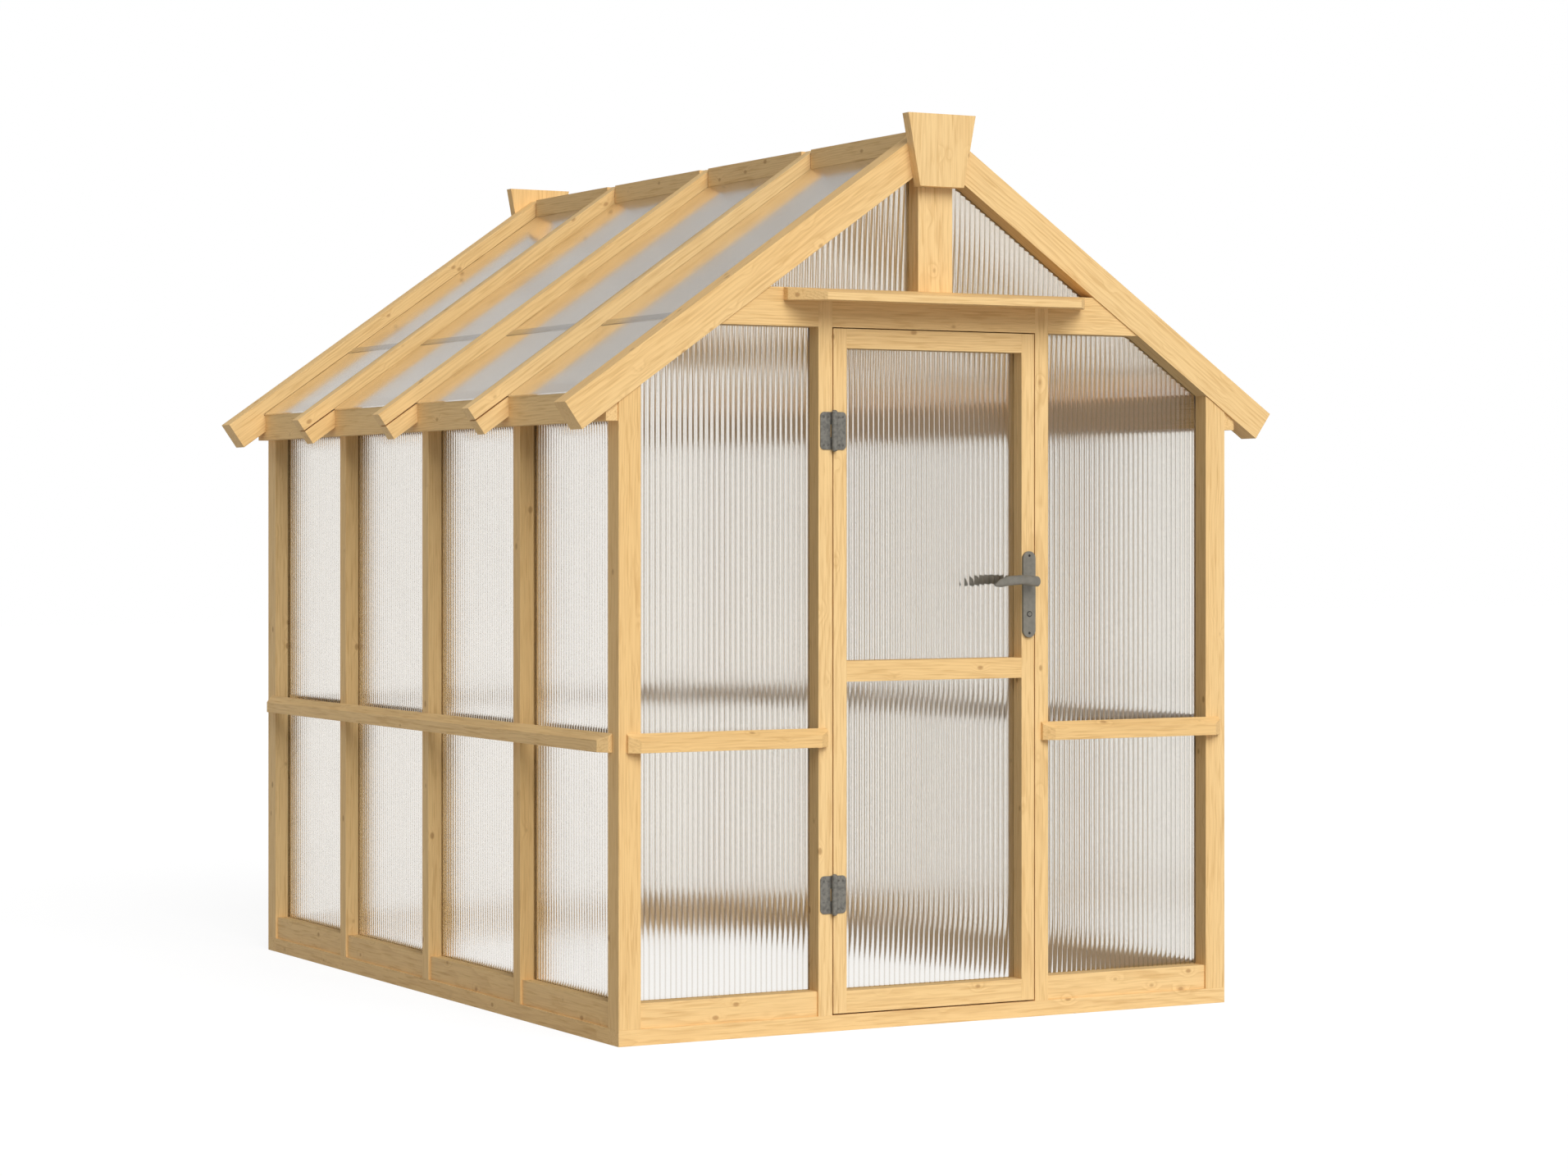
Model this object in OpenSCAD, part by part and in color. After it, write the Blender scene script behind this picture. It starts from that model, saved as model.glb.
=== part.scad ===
// Timber greenhouse with a gabled roof, reeded panes and a glazed door in its front wall.
// Millimetres. X runs along the front, Y from front to rear, Z up from the ground.
// The walls are drawn round X = 0, Y = 0, and y_shift then centres the whole outline.

/* [Walls] */
// Outside width over the corner posts
wall_w = 1930; // [1860:2:2060]
// Outside depth over the corner posts
wall_d = 2568; // [2400:4:2800]
// Thickness of the walls, and side of the square corner posts
wall_t = 65; // [62:1:70]
// Height of the roof timbers' underside at the outer face of the side walls
eave_h = 1691; // [1680:1:1740]
// Height of the sole timbers
sole_h = 43; // [35:1:55]
// Height of the boards that stand on the soles
board_h = 67; // [55:1:80]
// Distance that those boards stand back from the face of the posts
board_setback = 7; // [2:1:10]

/* [Uprights] */
// Width of the studs in the side walls
stud_w = 45; // [40:1:60]
// Number of studs in each side wall
stud_count = 3; // [2:1:5]
// Thickness of the cover boards on the studs and jambs
cover_t = 22; // [15:1:28]
// Depth of the scribed line where a cover board ends
scribe = 1.5; // [1:0.5:2]
// Width of the door jambs, and of the rear studs in line with them
jamb_w = 43; // [38:1:55]
// Width of the king posts
king_w = 109; // [80:1:130]
// Height of the tie beams
tie_h = 104; // [80:1:120]

/* [Roof] */
// Pitch of the roof in degrees
roof_pitch = 35; // [33:0.5:38]
// Horizontal reach of the rafter tails beyond the side walls
tail_out = 157; // [130:1:190]
// Width of the rafters and of their battens
rafter_w = 48; // [42:1:60]
// Depth of the lower rafters, square to the slope
rafter_h = 45; // [40:1:55]
// Depth of the battens over the roof sheets, square to the slope
batten_h = 38; // [30:1:45]
// Thickness of the roof sheets
roof_sheet_t = 4; // [3:0.5:6]
// Thickness of the gable rafters
gable_t = 72; // [68:1:85]
// Distance that the gable rafters stand proud of the end walls
gable_proud = 4.4; // [2:0.2:6]
// Height cut off the point where each pair of rafters meets
apex_cut = 25; // [20:1:30]
// Distance from the middle of the roof to the joint between two sheets
sheet_joint_x = 703; // [500:1:750]
// Reach of the roof sheets beyond the eave beams
sheet_overhang = 3; // [1:0.5:6]

/* [Eaves and ridge] */
// Thickness of the eave beams
beam_t = 35; // [25:1:50]
// Drop of the eave beams' underside below the roof timbers' underside
beam_drop = 51.5; // [35:0.5:70]
// Drop of the wall plates' underside below the roof timbers' underside
plate_drop = 46; // [35:0.5:60]
// Distance that the eave beams stop short of the end walls' faces
beam_end = 4; // [0:1:20]
// Width of the ridge beam
ridge_w = 36; // [28:1:45]
// Height of the ridge beam at its middle
ridge_h = 90; // [85:1:120]
// Width of the ridge caps
cap_w = 100; // [90:1:120]
// Gap between two ridge caps, where a pair of battens passes
cap_gap = 57; // [50:1:70]
// Gap between the last cap and the gable rafters
cap_end_gap = 6; // [2:1:15]

/* [Ridge ornaments] */
// Thickness of the ornament boards
ornament_t = 33; // [20:1:40]
// Width of the boards at the top
ornament_top_w = 214; // [180:1:240]
// Width of the boards at the bottom
ornament_bottom_w = 139; // [120:1:160]
// Height of the boards
ornament_h = 199; // [160:1:230]
// Height of the boards' top above the flat of the ridge
ornament_rise = 42; // [20:1:60]

/* [Sills and canopy] */
// Projection of the sills
sill_out = 31; // [20:1:40]
// Height of the sills at the back
sill_h = 51; // [40:1:60]
// Fall of the sills' top from back to front
sill_fall = 19; // [10:1:22]
// Height of the sills' underside
sill_z = 769; // [650:1:900]
// Length of the square end of a sill before its bevel starts
sill_square = 11; // [5:1:14]
// Length that the bevel takes off each end of a sill's front
sill_bevel = 29; // [20:1:40]
// Distance from the corner to the end of the front and rear sills
sill_corner_front = 23; // [15:1:30]
// Distance from the corner to the end of the side sills
sill_corner_side = 40; // [30:1:50]
// Length that the front sills lap over the door jambs
sill_jamb_lap = 24; // [15:1:30]
// Projection of the canopy over the door
canopy_out = 116; // [80:1:150]
// Length of the canopy along the wall
canopy_w = 946; // [860:2:1000]
// Thickness of the canopy at the wall
canopy_back_t = 35; // [30:1:45]
// Thickness of the canopy at its front edge
canopy_front_t = 20; // [15:1:25]
// Fall of the canopy's top from the wall to the front
canopy_fall = 18; // [10:1:25]
// Length of the canopy's square end before its bevel starts
canopy_square = 23; // [15:1:35]
// Length that the bevel takes off each end of the canopy's front
canopy_bevel = 71; // [50:1:90]

/* [Door] */
// Height of the door opening above the front sole
opening_h = 1858; // [1800:1:1880]
// Width of the door
door_w = 640; // [600:2:700]
// Thickness of the door
door_t = 64; // [61:0.5:64.5]
// Gap at each side of the door
door_side_gap = 3.5; // [3:0.5:5]
// Gap under the door
door_bottom_gap = 4; // [3:0.5:8]
// Gap over the door
door_top_gap = 3; // [2:0.5:6]
// Width of the stiles
stile_w = 41; // [40:0.5:48]
// Height of the bottom rail
bottom_rail_h = 60; // [50:1:80]
// Height of the middle rail
mid_rail_h = 56; // [45:1:70]
// Height of the middle rail's underside above the door's bottom edge
mid_rail_up = 896; // [800:1:940]
// Height of the top rail
top_rail_h = 53; // [45:1:65]
// Amount planed off the lock edge at the rear, so that it clears the jamb
edge_bevel = 3; // [2.5:0.5:4]
// Width of the stop strips
stop_w = 40; // [30:1:45]
// Thickness of the stop strips
stop_t = 18; // [12:1:25]
// Width of the stop strips that shows in the opening
stop_lap = 12; // [8:1:13]

/* [Glazing] */
// Thickness of the wall and door sheets
wall_sheet_t = 6; // [4:0.5:7]
// Distance from one round rib of those sheets to the next
rib_pitch = 16; // [12:0.5:20]
// Depth of the grooves between the ribs
rib_depth = 2; // [1:0.25:2.5]
// Setback of the sheets in the side walls and the door
side_setback = 42; // [38:1:44]
// Setback of the sheets in the end walls
end_setback = 52; // [48:1:53]
// Width of the rebates that hold the sheets
rebate_w = 12; // [9:1:14]
// Gap between a sheet's edge and the bottom of its rebate
sheet_gap = 2; // [1:0.5:4]
// Width of the strips that join two roof sheets
joiner_w = 28; // [20:1:40]
// Thickness of the joiner strips' flanges
joiner_t = 1.5; // [1:0.5:2.5]
// Thickness of the joiner strips' web
joiner_web = 2; // [1:0.5:3]
// Gap between a roof sheet's edge and that web
joiner_room = 1; // [0.5:0.5:2]

/* [Hinges] */
// Height of the hinge leaves
leaf_h = 102; // [90:1:120]
// Width of each leaf from the hinge axis
leaf_w = 40; // [34:1:41]
// Thickness of the leaves
leaf_t = 2.5; // [2:0.5:4]
// Radius of the leaves' outer corners
leaf_corner_r = 12; // [6:1:15]
// Radius of the knuckles
knuckle_r = 8.4; // [7:0.1:8.5]
// Radius of the hinge pins
pin_r = 4.5; // [3:0.5:5]
// Height of each rounded pin end
pin_cap_h = 5.5; // [4:0.5:8]
// Height of the lower hinge's middle above the door's bottom edge
hinge_up = 322; // [200:1:400]
// Depth of the upper hinge's middle below the door's top edge
hinge_down = 277; // [200:1:400]

/* [Lock] */
// Height of the lever's axis above the door's bottom edge
lever_up = 1163; // [1110:1:1200]
// Distance from the door's edge to the lever's axis
backset = 20; // [20:0.5:21]
// Distance from the lever's axis down to the key's axis
key_drop = 90; // [88:1:94]
// Width of the outer handle plate
plate_w = 40; // [32:1:40]
// Width of the inner handle plate
inner_plate_w = 34; // [30:1:34]
// Height of the handle plates
plate_h = 239; // [225:1:250]
// Thickness of the handle plates
plate_t = 8; // [5:0.5:8]
// Height of the plates' top end above the lever's axis
plate_up = 84; // [75:1:95]
// Length of the levers from axis to tip
lever_len = 137; // [110:1:145]
// Distance of the levers' middle line from the door's face
lever_out = 46; // [40:1:48]
// Radius of the levers' necks
neck_r = 9; // [7:0.5:10]
// Side of the square spindle
spindle_w = 8; // [7:0.5:9]
// Height of the lock case
case_h = 175; // [170:1:190]
// Thickness of the lock case
case_t = 16; // [15:0.5:18]
// Thickness of the lock case's walls
case_wall = 2; // [1:0.5:2.5]
// Timber left between the lock case and the sheet's side of the stile
case_cover = 4; // [3:0.5:6]
// Step of the follower's hub behind the case's walls
hub_step = 1; // [0.5:0.5:2]
// Width of the follower's arm and of the cam
arm_w = 6; // [4:0.5:8]
// Width of the faceplate
faceplate_w = 20; // [18:0.5:20]
// Height of the faceplate
faceplate_h = 210; // [200:1:230]
// Thickness of the faceplate
faceplate_t = 3; // [2:0.5:4]
// Width of the flat land between the faceplate and the planed edge
edge_land = 1; // [0.5:0.5:2]
// Height of the latch bolt
latch_h = 16; // [12:1:18]
// Height of the latch bolt's middle above the lever's axis
latch_up = 27; // [27:0.5:30]
// Reach of the latch bolt beyond the faceplate
latch_reach = 11; // [9:0.5:12]
// Thickness of the latch bolt's tip
latch_nose = 2; // [1:0.5:3]
// Height of the dead bolt
dead_h = 22; // [18:1:26]
// Height of the dead bolt's middle above the key's axis
dead_up = 24; // [23:0.5:26]
// Travel of the dead bolt
dead_travel = 12; // [8:0.5:13]
// Length of both bolts
bolt_len = 34; // [30:0.5:34]
// Radius of the lock cylinder
cylinder_r = 8; // [7:0.5:9]
// Radius of the key plug
plug_r = 5.5; // [4:0.5:6]
// Reach of the lock cylinder beyond the handle plates
cylinder_out = 1; // [0.5:0.5:2]
// Width of the strike plate
strike_w = 24; // [20:1:28]
// Height of the strike plate
strike_h = 180; // [170:1:200]
// Thickness of the strike plate
strike_t = 2; // [1.5:0.5:3]
// Room round and beyond the bolts in the jamb
pocket_room = 4; // [3:0.5:6]

/* [Fits] */
// Gap between two timbers that meet in a planed joint
joint_gap = 0.3; // [0.2:0.1:1]
// Gap round what lies in a mortise or groove
housing_gap = 0.3; // [0.25:0.05:0.5]
// Gap between sliding flat faces in the lock
slide_gap = 0.35; // [0.3:0.05:0.5]
// Gap all round a turning pin, neck or plug
running_gap = 0.06; // [0.03:0.01:0.1]
// Gap between two knuckles of a hinge
knuckle_gap = 0.4; // [0.3:0.1:0.8]
// Gap between a knuckle and the timber behind it
knuckle_clear = 0.6; // [0.4:0.1:1]
// Gap between a bolt and the follower or cam that moves it
throw_gap = 1.5; // [1:0.5:3]

/* [Hidden] */
$fn = 48;
rib_facets = 96;
lever_facets = 24;
half_w = wall_w / 2;
half_d = wall_d / 2;
inner_x = half_w - wall_t;
inner_y = half_d - wall_t;
far = 5000;
cut = 1;
y_shift = (canopy_out - gable_proud - ornament_t) / 2;

board_top = sole_h + board_h;
plate_z = eave_h - plate_drop;
tie_z = sole_h + opening_h;
tie_top = tie_z + tie_h;
opening_x = door_w / 2 + door_side_gap;
jamb_x = opening_x + jamb_w;
side_sheet_x = half_w - side_setback;
end_sheet_y = half_d - end_setback;
rebate_z = board_top - rebate_w;
sheet_lap = rebate_w - sheet_gap;
stud_pitch = wall_d / (stud_count + 1);
rib_r = (pow(rib_pitch / 2, 2) + pow(rib_depth, 2)) / (2 * rib_depth);

sheet_v = rafter_h;
seat_v = sheet_v - joint_gap;
batten_v = rafter_h + roof_sheet_t;
roof_v = batten_v + batten_h;
tail_x = half_w + tail_out;
beam_x = half_w + beam_t;
gable_y = half_d + gable_proud;
gable_inner_y = gable_y - gable_t;
sheet_end_x = beam_x + sheet_overhang;
ridge_flat_z = eave_h + half_w * tan(roof_pitch) + roof_v / cos(roof_pitch) - apex_cut;

door_x = door_w / 2;
door_z = sole_h + door_bottom_gap;
door_top = tie_z - door_top_gap;
door_y = -half_d;
door_back = door_y + door_t;
door_mid = door_y + door_t / 2;
glass_x = door_x - stile_w;
mid_rail_z = door_z + mid_rail_up;
door_sheet_y = door_y + side_setback;
bead_back_y = door_sheet_y + wall_sheet_t;

hinge_x = -(opening_x + door_x) / 2;
pin_out = knuckle_r + knuckle_clear;
hinge_y = door_y - pin_out;
hinge_zs = [door_z + hinge_up, door_top - hinge_down];
knuckle_h = leaf_h / 3;

lever_x = door_x - backset;
lever_z = door_z + lever_up;
key_z = lever_z - key_drop;
plate_z1 = lever_z + plate_up;
latch_z = lever_z + latch_up;
dead_z = key_z + dead_up;
case_z = (latch_z + key_z) / 2;
case_x1 = door_x - faceplate_t;
case_x0 = glass_x + case_cover;
bolt_t = case_t - 2 * case_wall - 2 * slide_gap;
cylinder_y0 = door_y - plate_t - cylinder_out;
cylinder_y1 = door_back + plate_t + cylinder_out;
follower_arm = latch_up - latch_h / 2 - throw_gap;
cam_r = dead_up - dead_h / 2 - throw_gap;

// Height of the plane under the roof timbers at a distance x from the middle
function under_z(x) = eave_h + (half_w - x) * tan(roof_pitch);

// Distance from the middle at which that plane has height z
function under_x(z) = half_w - (z - eave_h) / tan(roof_pitch);

// Point at distance x and at depth v above that plane, in the plane of the gable
function slope_pt(x, v) = [x, under_z(x) + v / cos(roof_pitch)];

// Point of the square-cut tail at depth v
function tail_pt(v) = slope_pt(tail_x - (roof_v - v) * sin(roof_pitch), v);

// Middle of stud number i, counted from the front
function stud_y(i) = -half_d + (i + 1) * stud_pitch;

// Front and rear edges of bay number i between members of width w
function bay_start(i, w) = i == 0 ? -inner_y : stud_y(i - 1) + w / 2;
function bay_end(i, w) = i == stud_count ? inner_y : stud_y(i) - w / 2;

// Box between two opposite corners
module box(a, b) {
    translate(a) cube(b - a);
}

// Outline in X and Z, extruded from y0 to y1
module along_y(y0, y1) {
    translate([0, y1, 0]) rotate([90, 0, 0]) linear_extrude(y1 - y0) children();
}

// Cylinder along Y from y0 to y1
module rod_y(x, z, r, y0, y1) {
    translate([x, y1, z]) rotate([90, 0, 0]) cylinder(r = r, h = y1 - y0);
}

module both_x() {
    children();
    mirror([1, 0, 0]) children();
}

module both_y() {
    children();
    mirror([0, 1, 0]) children();
}

module to_rear() {
    mirror([0, 1, 0]) children();
}

module pine() {
    color("burlywood") translate([0, y_shift, 0]) children();
}

module reeded() {
    color("gainsboro", 0.4) translate([0, y_shift, 0]) children();
}

module metal() {
    color("dimgray") translate([0, y_shift, 0]) children();
}

// Outline of a roof timber from depth v0 to v1, from x0 to its tail, cut flat at the ridge
module slope_bar(v0, v1, x0) {
    top = slope_pt(x0, v1);
    flat_x = under_x(ridge_flat_z - v1 / cos(roof_pitch));
    head = top[1] > ridge_flat_z ? [[flat_x, ridge_flat_z], [x0, ridge_flat_z]] : [top];
    polygon(concat([slope_pt(x0, v0), tail_pt(v0), tail_pt(v1)], head));
}

// Outline of a groove along the slope from x0 to x1
module slope_groove(v0, v1, x0, x1) {
    polygon([slope_pt(x0, v0), slope_pt(x1, v0), slope_pt(x1, v1), slope_pt(x0, v1)]);
}

// Frame of the right slope: X runs down the slope, Z stands square on it
module on_slope() {
    translate([0, 0, under_z(0)]) rotate([0, roof_pitch, 0]) children();
}

// Distance down the slope of a point at distance x and depth v
function down(x, v) = (x - v * sin(roof_pitch)) / cos(roof_pitch);

// Outline of the opening beside the jamb, widened by g
module wing_outline(g) {
    rise = g / cos(roof_pitch);
    polygon([
        [jamb_x - g, board_top - g],
        [inner_x + g, board_top - g],
        [inner_x + g, under_z(inner_x + g) + rise],
        [under_x(tie_z + g - rise), tie_z + g],
        [jamb_x - g, tie_z + g]
    ]);
}

// Outline of half the gable's opening, widened by g
module gable_outline(g) {
    rise = g / cos(roof_pitch);
    x0 = king_w / 2 - g;
    polygon([
        [x0, tie_top - g],
        [under_x(tie_top - g - rise), tie_top - g],
        [x0, under_z(x0) + rise]
    ]);
}

// Strip with a sloped top and bevelled ends, from x0 to x1 on a wall face at y = 0
module sill_strip(x0, x1, out, back_t, front_t, fall, square_end, bevel) {
    intersection() {
        translate([x0, 0, 0]) rotate([90, 0, 90]) linear_extrude(x1 - x0)
            polygon([[0, 0], [0, back_t], [-out, back_t - fall], [-out, back_t - fall - front_t]]);
        translate([0, 0, -cut - fall]) linear_extrude(back_t + fall + 2 * cut) polygon([
            [x0, 0], [x0, -square_end], [x0 + bevel, -out],
            [x1 - bevel, -out], [x1, -square_end], [x1, 0]
        ]);
    }
}

module sill(x0, x1) {
    translate([0, 0, sill_z])
        sill_strip(x0, x1, sill_out, sill_h, sill_h - sill_fall, sill_fall, sill_square, sill_bevel);
}

// Soles: the end ones run under the corner posts, the side ones fit between
module end_sole() {
    box([-half_w, -half_d, 0], [half_w, -inner_y, sole_h]);
}

module front_sole() {
    pine() end_sole();
}

module rear_sole() {
    pine() to_rear() end_sole();
}

module side_soles() {
    pine() both_x() box([inner_x, -inner_y, 0], [half_w, inner_y, sole_h]);
}

// Corner posts, cut to the slope, with rebates for the sheets of both walls
module corner_post() {
    difference() {
        along_y(-half_d, -inner_y) polygon([
            [inner_x, sole_h], [half_w, sole_h],
            [half_w, under_z(half_w)], [inner_x, under_z(inner_x)]
        ]);
        box([inner_x - cut, -inner_y - rebate_w, rebate_z],
            [side_sheet_x, -inner_y + cut, plate_z + rebate_w]);
        box([inner_x - cut, -end_sheet_y, rebate_z], [inner_x + rebate_w, -inner_y + cut, far]);
    }
}

module front_corner_posts() {
    pine() both_x() corner_post();
}

module rear_corner_posts() {
    pine() to_rear() both_x() corner_post();
}

// Boards on the soles, rebated along the top inner edge
module end_board(x0, x1) {
    difference() {
        box([x0, -half_d + board_setback, sole_h], [x1, -inner_y, board_top]);
        box([x0 - cut, -end_sheet_y, rebate_z], [x1 + cut, -inner_y + cut, board_top + cut]);
    }
}

module front_bottom_boards() {
    pine() both_x() end_board(jamb_x, inner_x);
}

module rear_bottom_boards() {
    pine() to_rear() {
        both_x() end_board(jamb_x, inner_x);
        end_board(-opening_x, opening_x);
    }
}

module side_bottom_boards() {
    pine() both_x() for (i = [0 : stud_count]) difference() {
        box([inner_x, bay_start(i, stud_w), sole_h],
            [half_w - board_setback, bay_end(i, stud_w), board_top]);
        box([inner_x - cut, bay_start(i, stud_w) - cut, rebate_z],
            [side_sheet_x, bay_end(i, stud_w) + cut, board_top + cut]);
    }
}

// Studs of the side walls: a core rebated on both sides under a cover board
module side_studs() {
    pine() both_x() for (i = [0 : stud_count - 1]) translate([0, stud_y(i), 0]) difference() {
        box([inner_x, -stud_w / 2, sole_h], [half_w - cover_t, stud_w / 2, plate_z]);
        both_y() box([inner_x - cut, stud_w / 2 - rebate_w, rebate_z],
            [side_sheet_x, stud_w / 2 + cut, plate_z + cut]);
    }
}

module side_cover_boards() {
    pine() both_x() for (i = [0 : stud_count - 1]) translate([0, stud_y(i), 0])
        box([half_w - cover_t, -stud_w / 2, sole_h], [half_w, stud_w / 2, plate_z]);
}

// Core of an upright beside the middle bay of an end wall
module end_core() {
    difference() {
        box([opening_x, -half_d + cover_t, sole_h], [jamb_x, -inner_y, tie_z]);
        box([jamb_x - rebate_w, -end_sheet_y, rebate_z], [jamb_x + cut, -inner_y + cut, tie_z + cut]);
    }
}

// Cover board of that upright, which runs on over the tie beam and ends under the roof
module end_cover() {
    along_y(-half_d, -half_d + cover_t) polygon([
        [opening_x, sole_h], [jamb_x, sole_h],
        [jamb_x, min(tie_top, under_z(jamb_x))], [opening_x, min(tie_top, under_z(opening_x))]
    ]);
}

module rear_studs() {
    pine() to_rear() both_x() difference() {
        end_core();
        box([opening_x - cut, -end_sheet_y, rebate_z],
            [opening_x + rebate_w, -inner_y + cut, tie_z + cut]);
    }
}

module rear_cover_boards() {
    pine() to_rear() both_x() end_cover();
}

// Hollow behind the strike plate for one bolt
module bolt_pocket(z, h, reach, x0) {
    box([x0, door_mid - bolt_t / 2 - pocket_room, z - h / 2 - pocket_room / 2],
        [door_x + reach + pocket_room, door_mid + bolt_t / 2 + pocket_room,
            z + h / 2 + pocket_room / 2]);
}

// Strike plate's outline, from x0 to its back
module strike_outline(x0) {
    box([x0, door_mid - strike_w / 2, case_z - strike_h / 2],
        [opening_x + strike_t, door_mid + strike_w / 2, case_z + strike_h / 2]);
}

module front_cover_boards() {
    pine() difference() {
        both_x() end_cover();
        strike_outline(opening_x - cut);
    }
}

module door_jambs() {
    pine() difference() {
        both_x() end_core();
        strike_outline(opening_x - cut);
        bolt_pocket(latch_z, latch_h, latch_reach, opening_x);
        bolt_pocket(dead_z, dead_h, dead_travel, opening_x);
    }
}

// Stop strips behind the door, with the lock side broken round the inner handle plate
module door_stops() {
    stop_in = opening_x - stop_lap;
    stop_out = stop_in + stop_w;
    top_z = tie_z - stop_lap;
    pine() {
        box([-stop_out, -inner_y, sole_h], [-stop_in, -inner_y + stop_t, top_z - joint_gap]);
        box([stop_in, -inner_y, sole_h],
            [stop_out, -inner_y + stop_t, plate_z1 - plate_h - stop_lap]);
        box([stop_in, -inner_y, plate_z1 + stop_lap],
            [stop_out, -inner_y + stop_t, top_z - joint_gap]);
        box([-stop_out, -inner_y, top_z], [stop_out, -inner_y + stop_t, top_z + stop_w]);
    }
}

// Tie beams, cut under the gable rafters, halved for the cover boards and rebated for the sheets
module tie_beam(bottom_rebate_x) {
    difference() {
        along_y(-half_d, -inner_y) polygon([
            [-under_x(tie_z), tie_z], [under_x(tie_z), tie_z],
            [under_x(tie_top), tie_top], [-under_x(tie_top), tie_top]
        ]);
        both_x() {
            box([opening_x, -half_d - cut, tie_z - cut], [jamb_x, -half_d + cover_t, tie_top + cut]);
            box([bottom_rebate_x, -end_sheet_y, tie_z - cut],
                [half_w, -inner_y + cut, tie_z + rebate_w]);
            box([king_w / 2 - rebate_w, -end_sheet_y, tie_top - rebate_w],
                [half_w, -inner_y + cut, tie_top + cut]);
        }
    }
}

module front_tie_beam() {
    pine() tie_beam(jamb_x - rebate_w);
}

module rear_tie_beam() {
    pine() to_rear() tie_beam(-cut);
}

// King posts, pointed under the rafters, with a scribed line where the cover board ends
module king_post() {
    half = king_w / 2;
    difference() {
        along_y(-half_d, -inner_y) polygon([
            [-half, tie_top], [half, tie_top], [half, under_z(half)],
            [0, under_z(0)], [-half, under_z(half)]
        ]);
        both_x() {
            box([half - rebate_w, -end_sheet_y, tie_top - cut], [half + cut, -inner_y + cut, far]);
            box([half - scribe, -half_d + cover_t - scribe, tie_top - cut],
                [half + cut, -half_d + cover_t, far]);
        }
    }
}

module front_king_post() {
    pine() king_post();
}

module rear_king_post() {
    pine() to_rear() king_post();
}

// Plates on the side walls under the rafters
module wall_plates() {
    pine() both_x() difference() {
        along_y(-inner_y, inner_y) polygon([
            [inner_x, plate_z], [half_w, plate_z],
            [half_w, under_z(half_w)], [inner_x, under_z(inner_x)]
        ]);
        box([inner_x - cut, -inner_y - cut, plate_z - cut],
            [side_sheet_x, inner_y + cut, plate_z + rebate_w]);
    }
}

// Eave beams outside the plates, notched for the rafters and bevelled under the sheets
module eave_beams() {
    beam_z = eave_h - beam_drop;
    notch_w = rafter_w + 2 * joint_gap;
    pine() both_x() difference() {
        along_y(-half_d + beam_end, half_d - beam_end) polygon([
            [half_w, beam_z], [beam_x, beam_z],
            slope_pt(beam_x, seat_v), slope_pt(half_w, seat_v)
        ]);
        for (i = [0 : stud_count - 1])
            along_y(stud_y(i) - notch_w / 2, stud_y(i) + notch_w / 2)
                slope_groove(0, roof_v, half_w - cut, beam_x + cut);
        both_y() along_y(gable_inner_y - joint_gap, half_d)
            slope_groove(0, roof_v, half_w - cut, beam_x + cut);
    }
}

// Gable rafters, rebated for the end sheets and grooved for the roof sheets
module gable_rafters() {
    both_x() difference() {
        along_y(-gable_y, -gable_inner_y) slope_bar(0, roof_v, joint_gap / 2);
        along_y(-end_sheet_y, -gable_inner_y + cut)
            slope_groove(-cut, rebate_w, -cut, inner_x + rebate_w);
        along_y(-gable_inner_y - rebate_w, -gable_inner_y + cut)
            slope_groove(sheet_v - housing_gap, batten_v + housing_gap, -cut, sheet_end_x + sheet_gap);
    }
}

module front_gable_rafters() {
    pine() gable_rafters();
}

module rear_gable_rafters() {
    pine() to_rear() gable_rafters();
}

// Intermediate rafters in two layers, with the roof sheets held between them
module rafter_row(v0, v1, x0) {
    for (i = [0 : stud_count - 1])
        along_y(stud_y(i) - rafter_w / 2, stud_y(i) + rafter_w / 2) slope_bar(v0, v1, x0);
}

module right_rafters() {
    pine() rafter_row(0, sheet_v, ridge_w / 2);
}

module left_rafters() {
    pine() mirror([1, 0, 0]) rafter_row(0, sheet_v, ridge_w / 2);
}

module right_rafter_battens() {
    pine() rafter_row(batten_v, roof_v, 0);
}

module left_rafter_battens() {
    pine() mirror([1, 0, 0]) rafter_row(batten_v, roof_v, 0);
}

module ridge_beam() {
    half = ridge_w / 2;
    top = slope_pt(0, seat_v);
    shoulder = slope_pt(half, seat_v);
    pine() along_y(-gable_inner_y, gable_inner_y) polygon([
        [-half, top[1] - ridge_h], [half, top[1] - ridge_h],
        shoulder, top, [-half, shoulder[1]]
    ]);
}

// Caps over the ridge, one between each two rafter lines
module ridge_caps() {
    half = cap_w / 2;
    under_v = batten_v + joint_gap;
    side_z = slope_pt(half, under_v)[1];
    pine() for (i = [0 : stud_count]) {
        y0 = i == 0 ? -gable_inner_y + cap_end_gap : stud_y(i - 1) + cap_gap / 2;
        y1 = i == stud_count ? gable_inner_y - cap_end_gap : stud_y(i) - cap_gap / 2;
        along_y(y0, y1) polygon([
            [-half, side_z], slope_pt(0, under_v), [half, side_z],
            [half, ridge_flat_z], [-half, ridge_flat_z]
        ]);
    }
}

// Tapered boards over the ends of the ridge
module ridge_ornament() {
    top = ridge_flat_z + ornament_rise;
    along_y(-gable_y - ornament_t, -gable_y) polygon([
        [-ornament_bottom_w / 2, top - ornament_h], [ornament_bottom_w / 2, top - ornament_h],
        [ornament_top_w / 2, top], [-ornament_top_w / 2, top]
    ]);
}

module front_ridge_ornament() {
    pine() ridge_ornament();
}

module rear_ridge_ornament() {
    pine() to_rear() ridge_ornament();
}

// Sills planted on the outside of the walls
module side_sills() {
    reach = half_d - sill_corner_side;
    pine() both_x() translate([half_w, 0, 0]) rotate([0, 0, 90]) sill(-reach, reach);
}

module front_sills() {
    pine() both_x() translate([0, -half_d, 0])
        sill(jamb_x - sill_jamb_lap, half_w - sill_corner_front);
}

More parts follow.
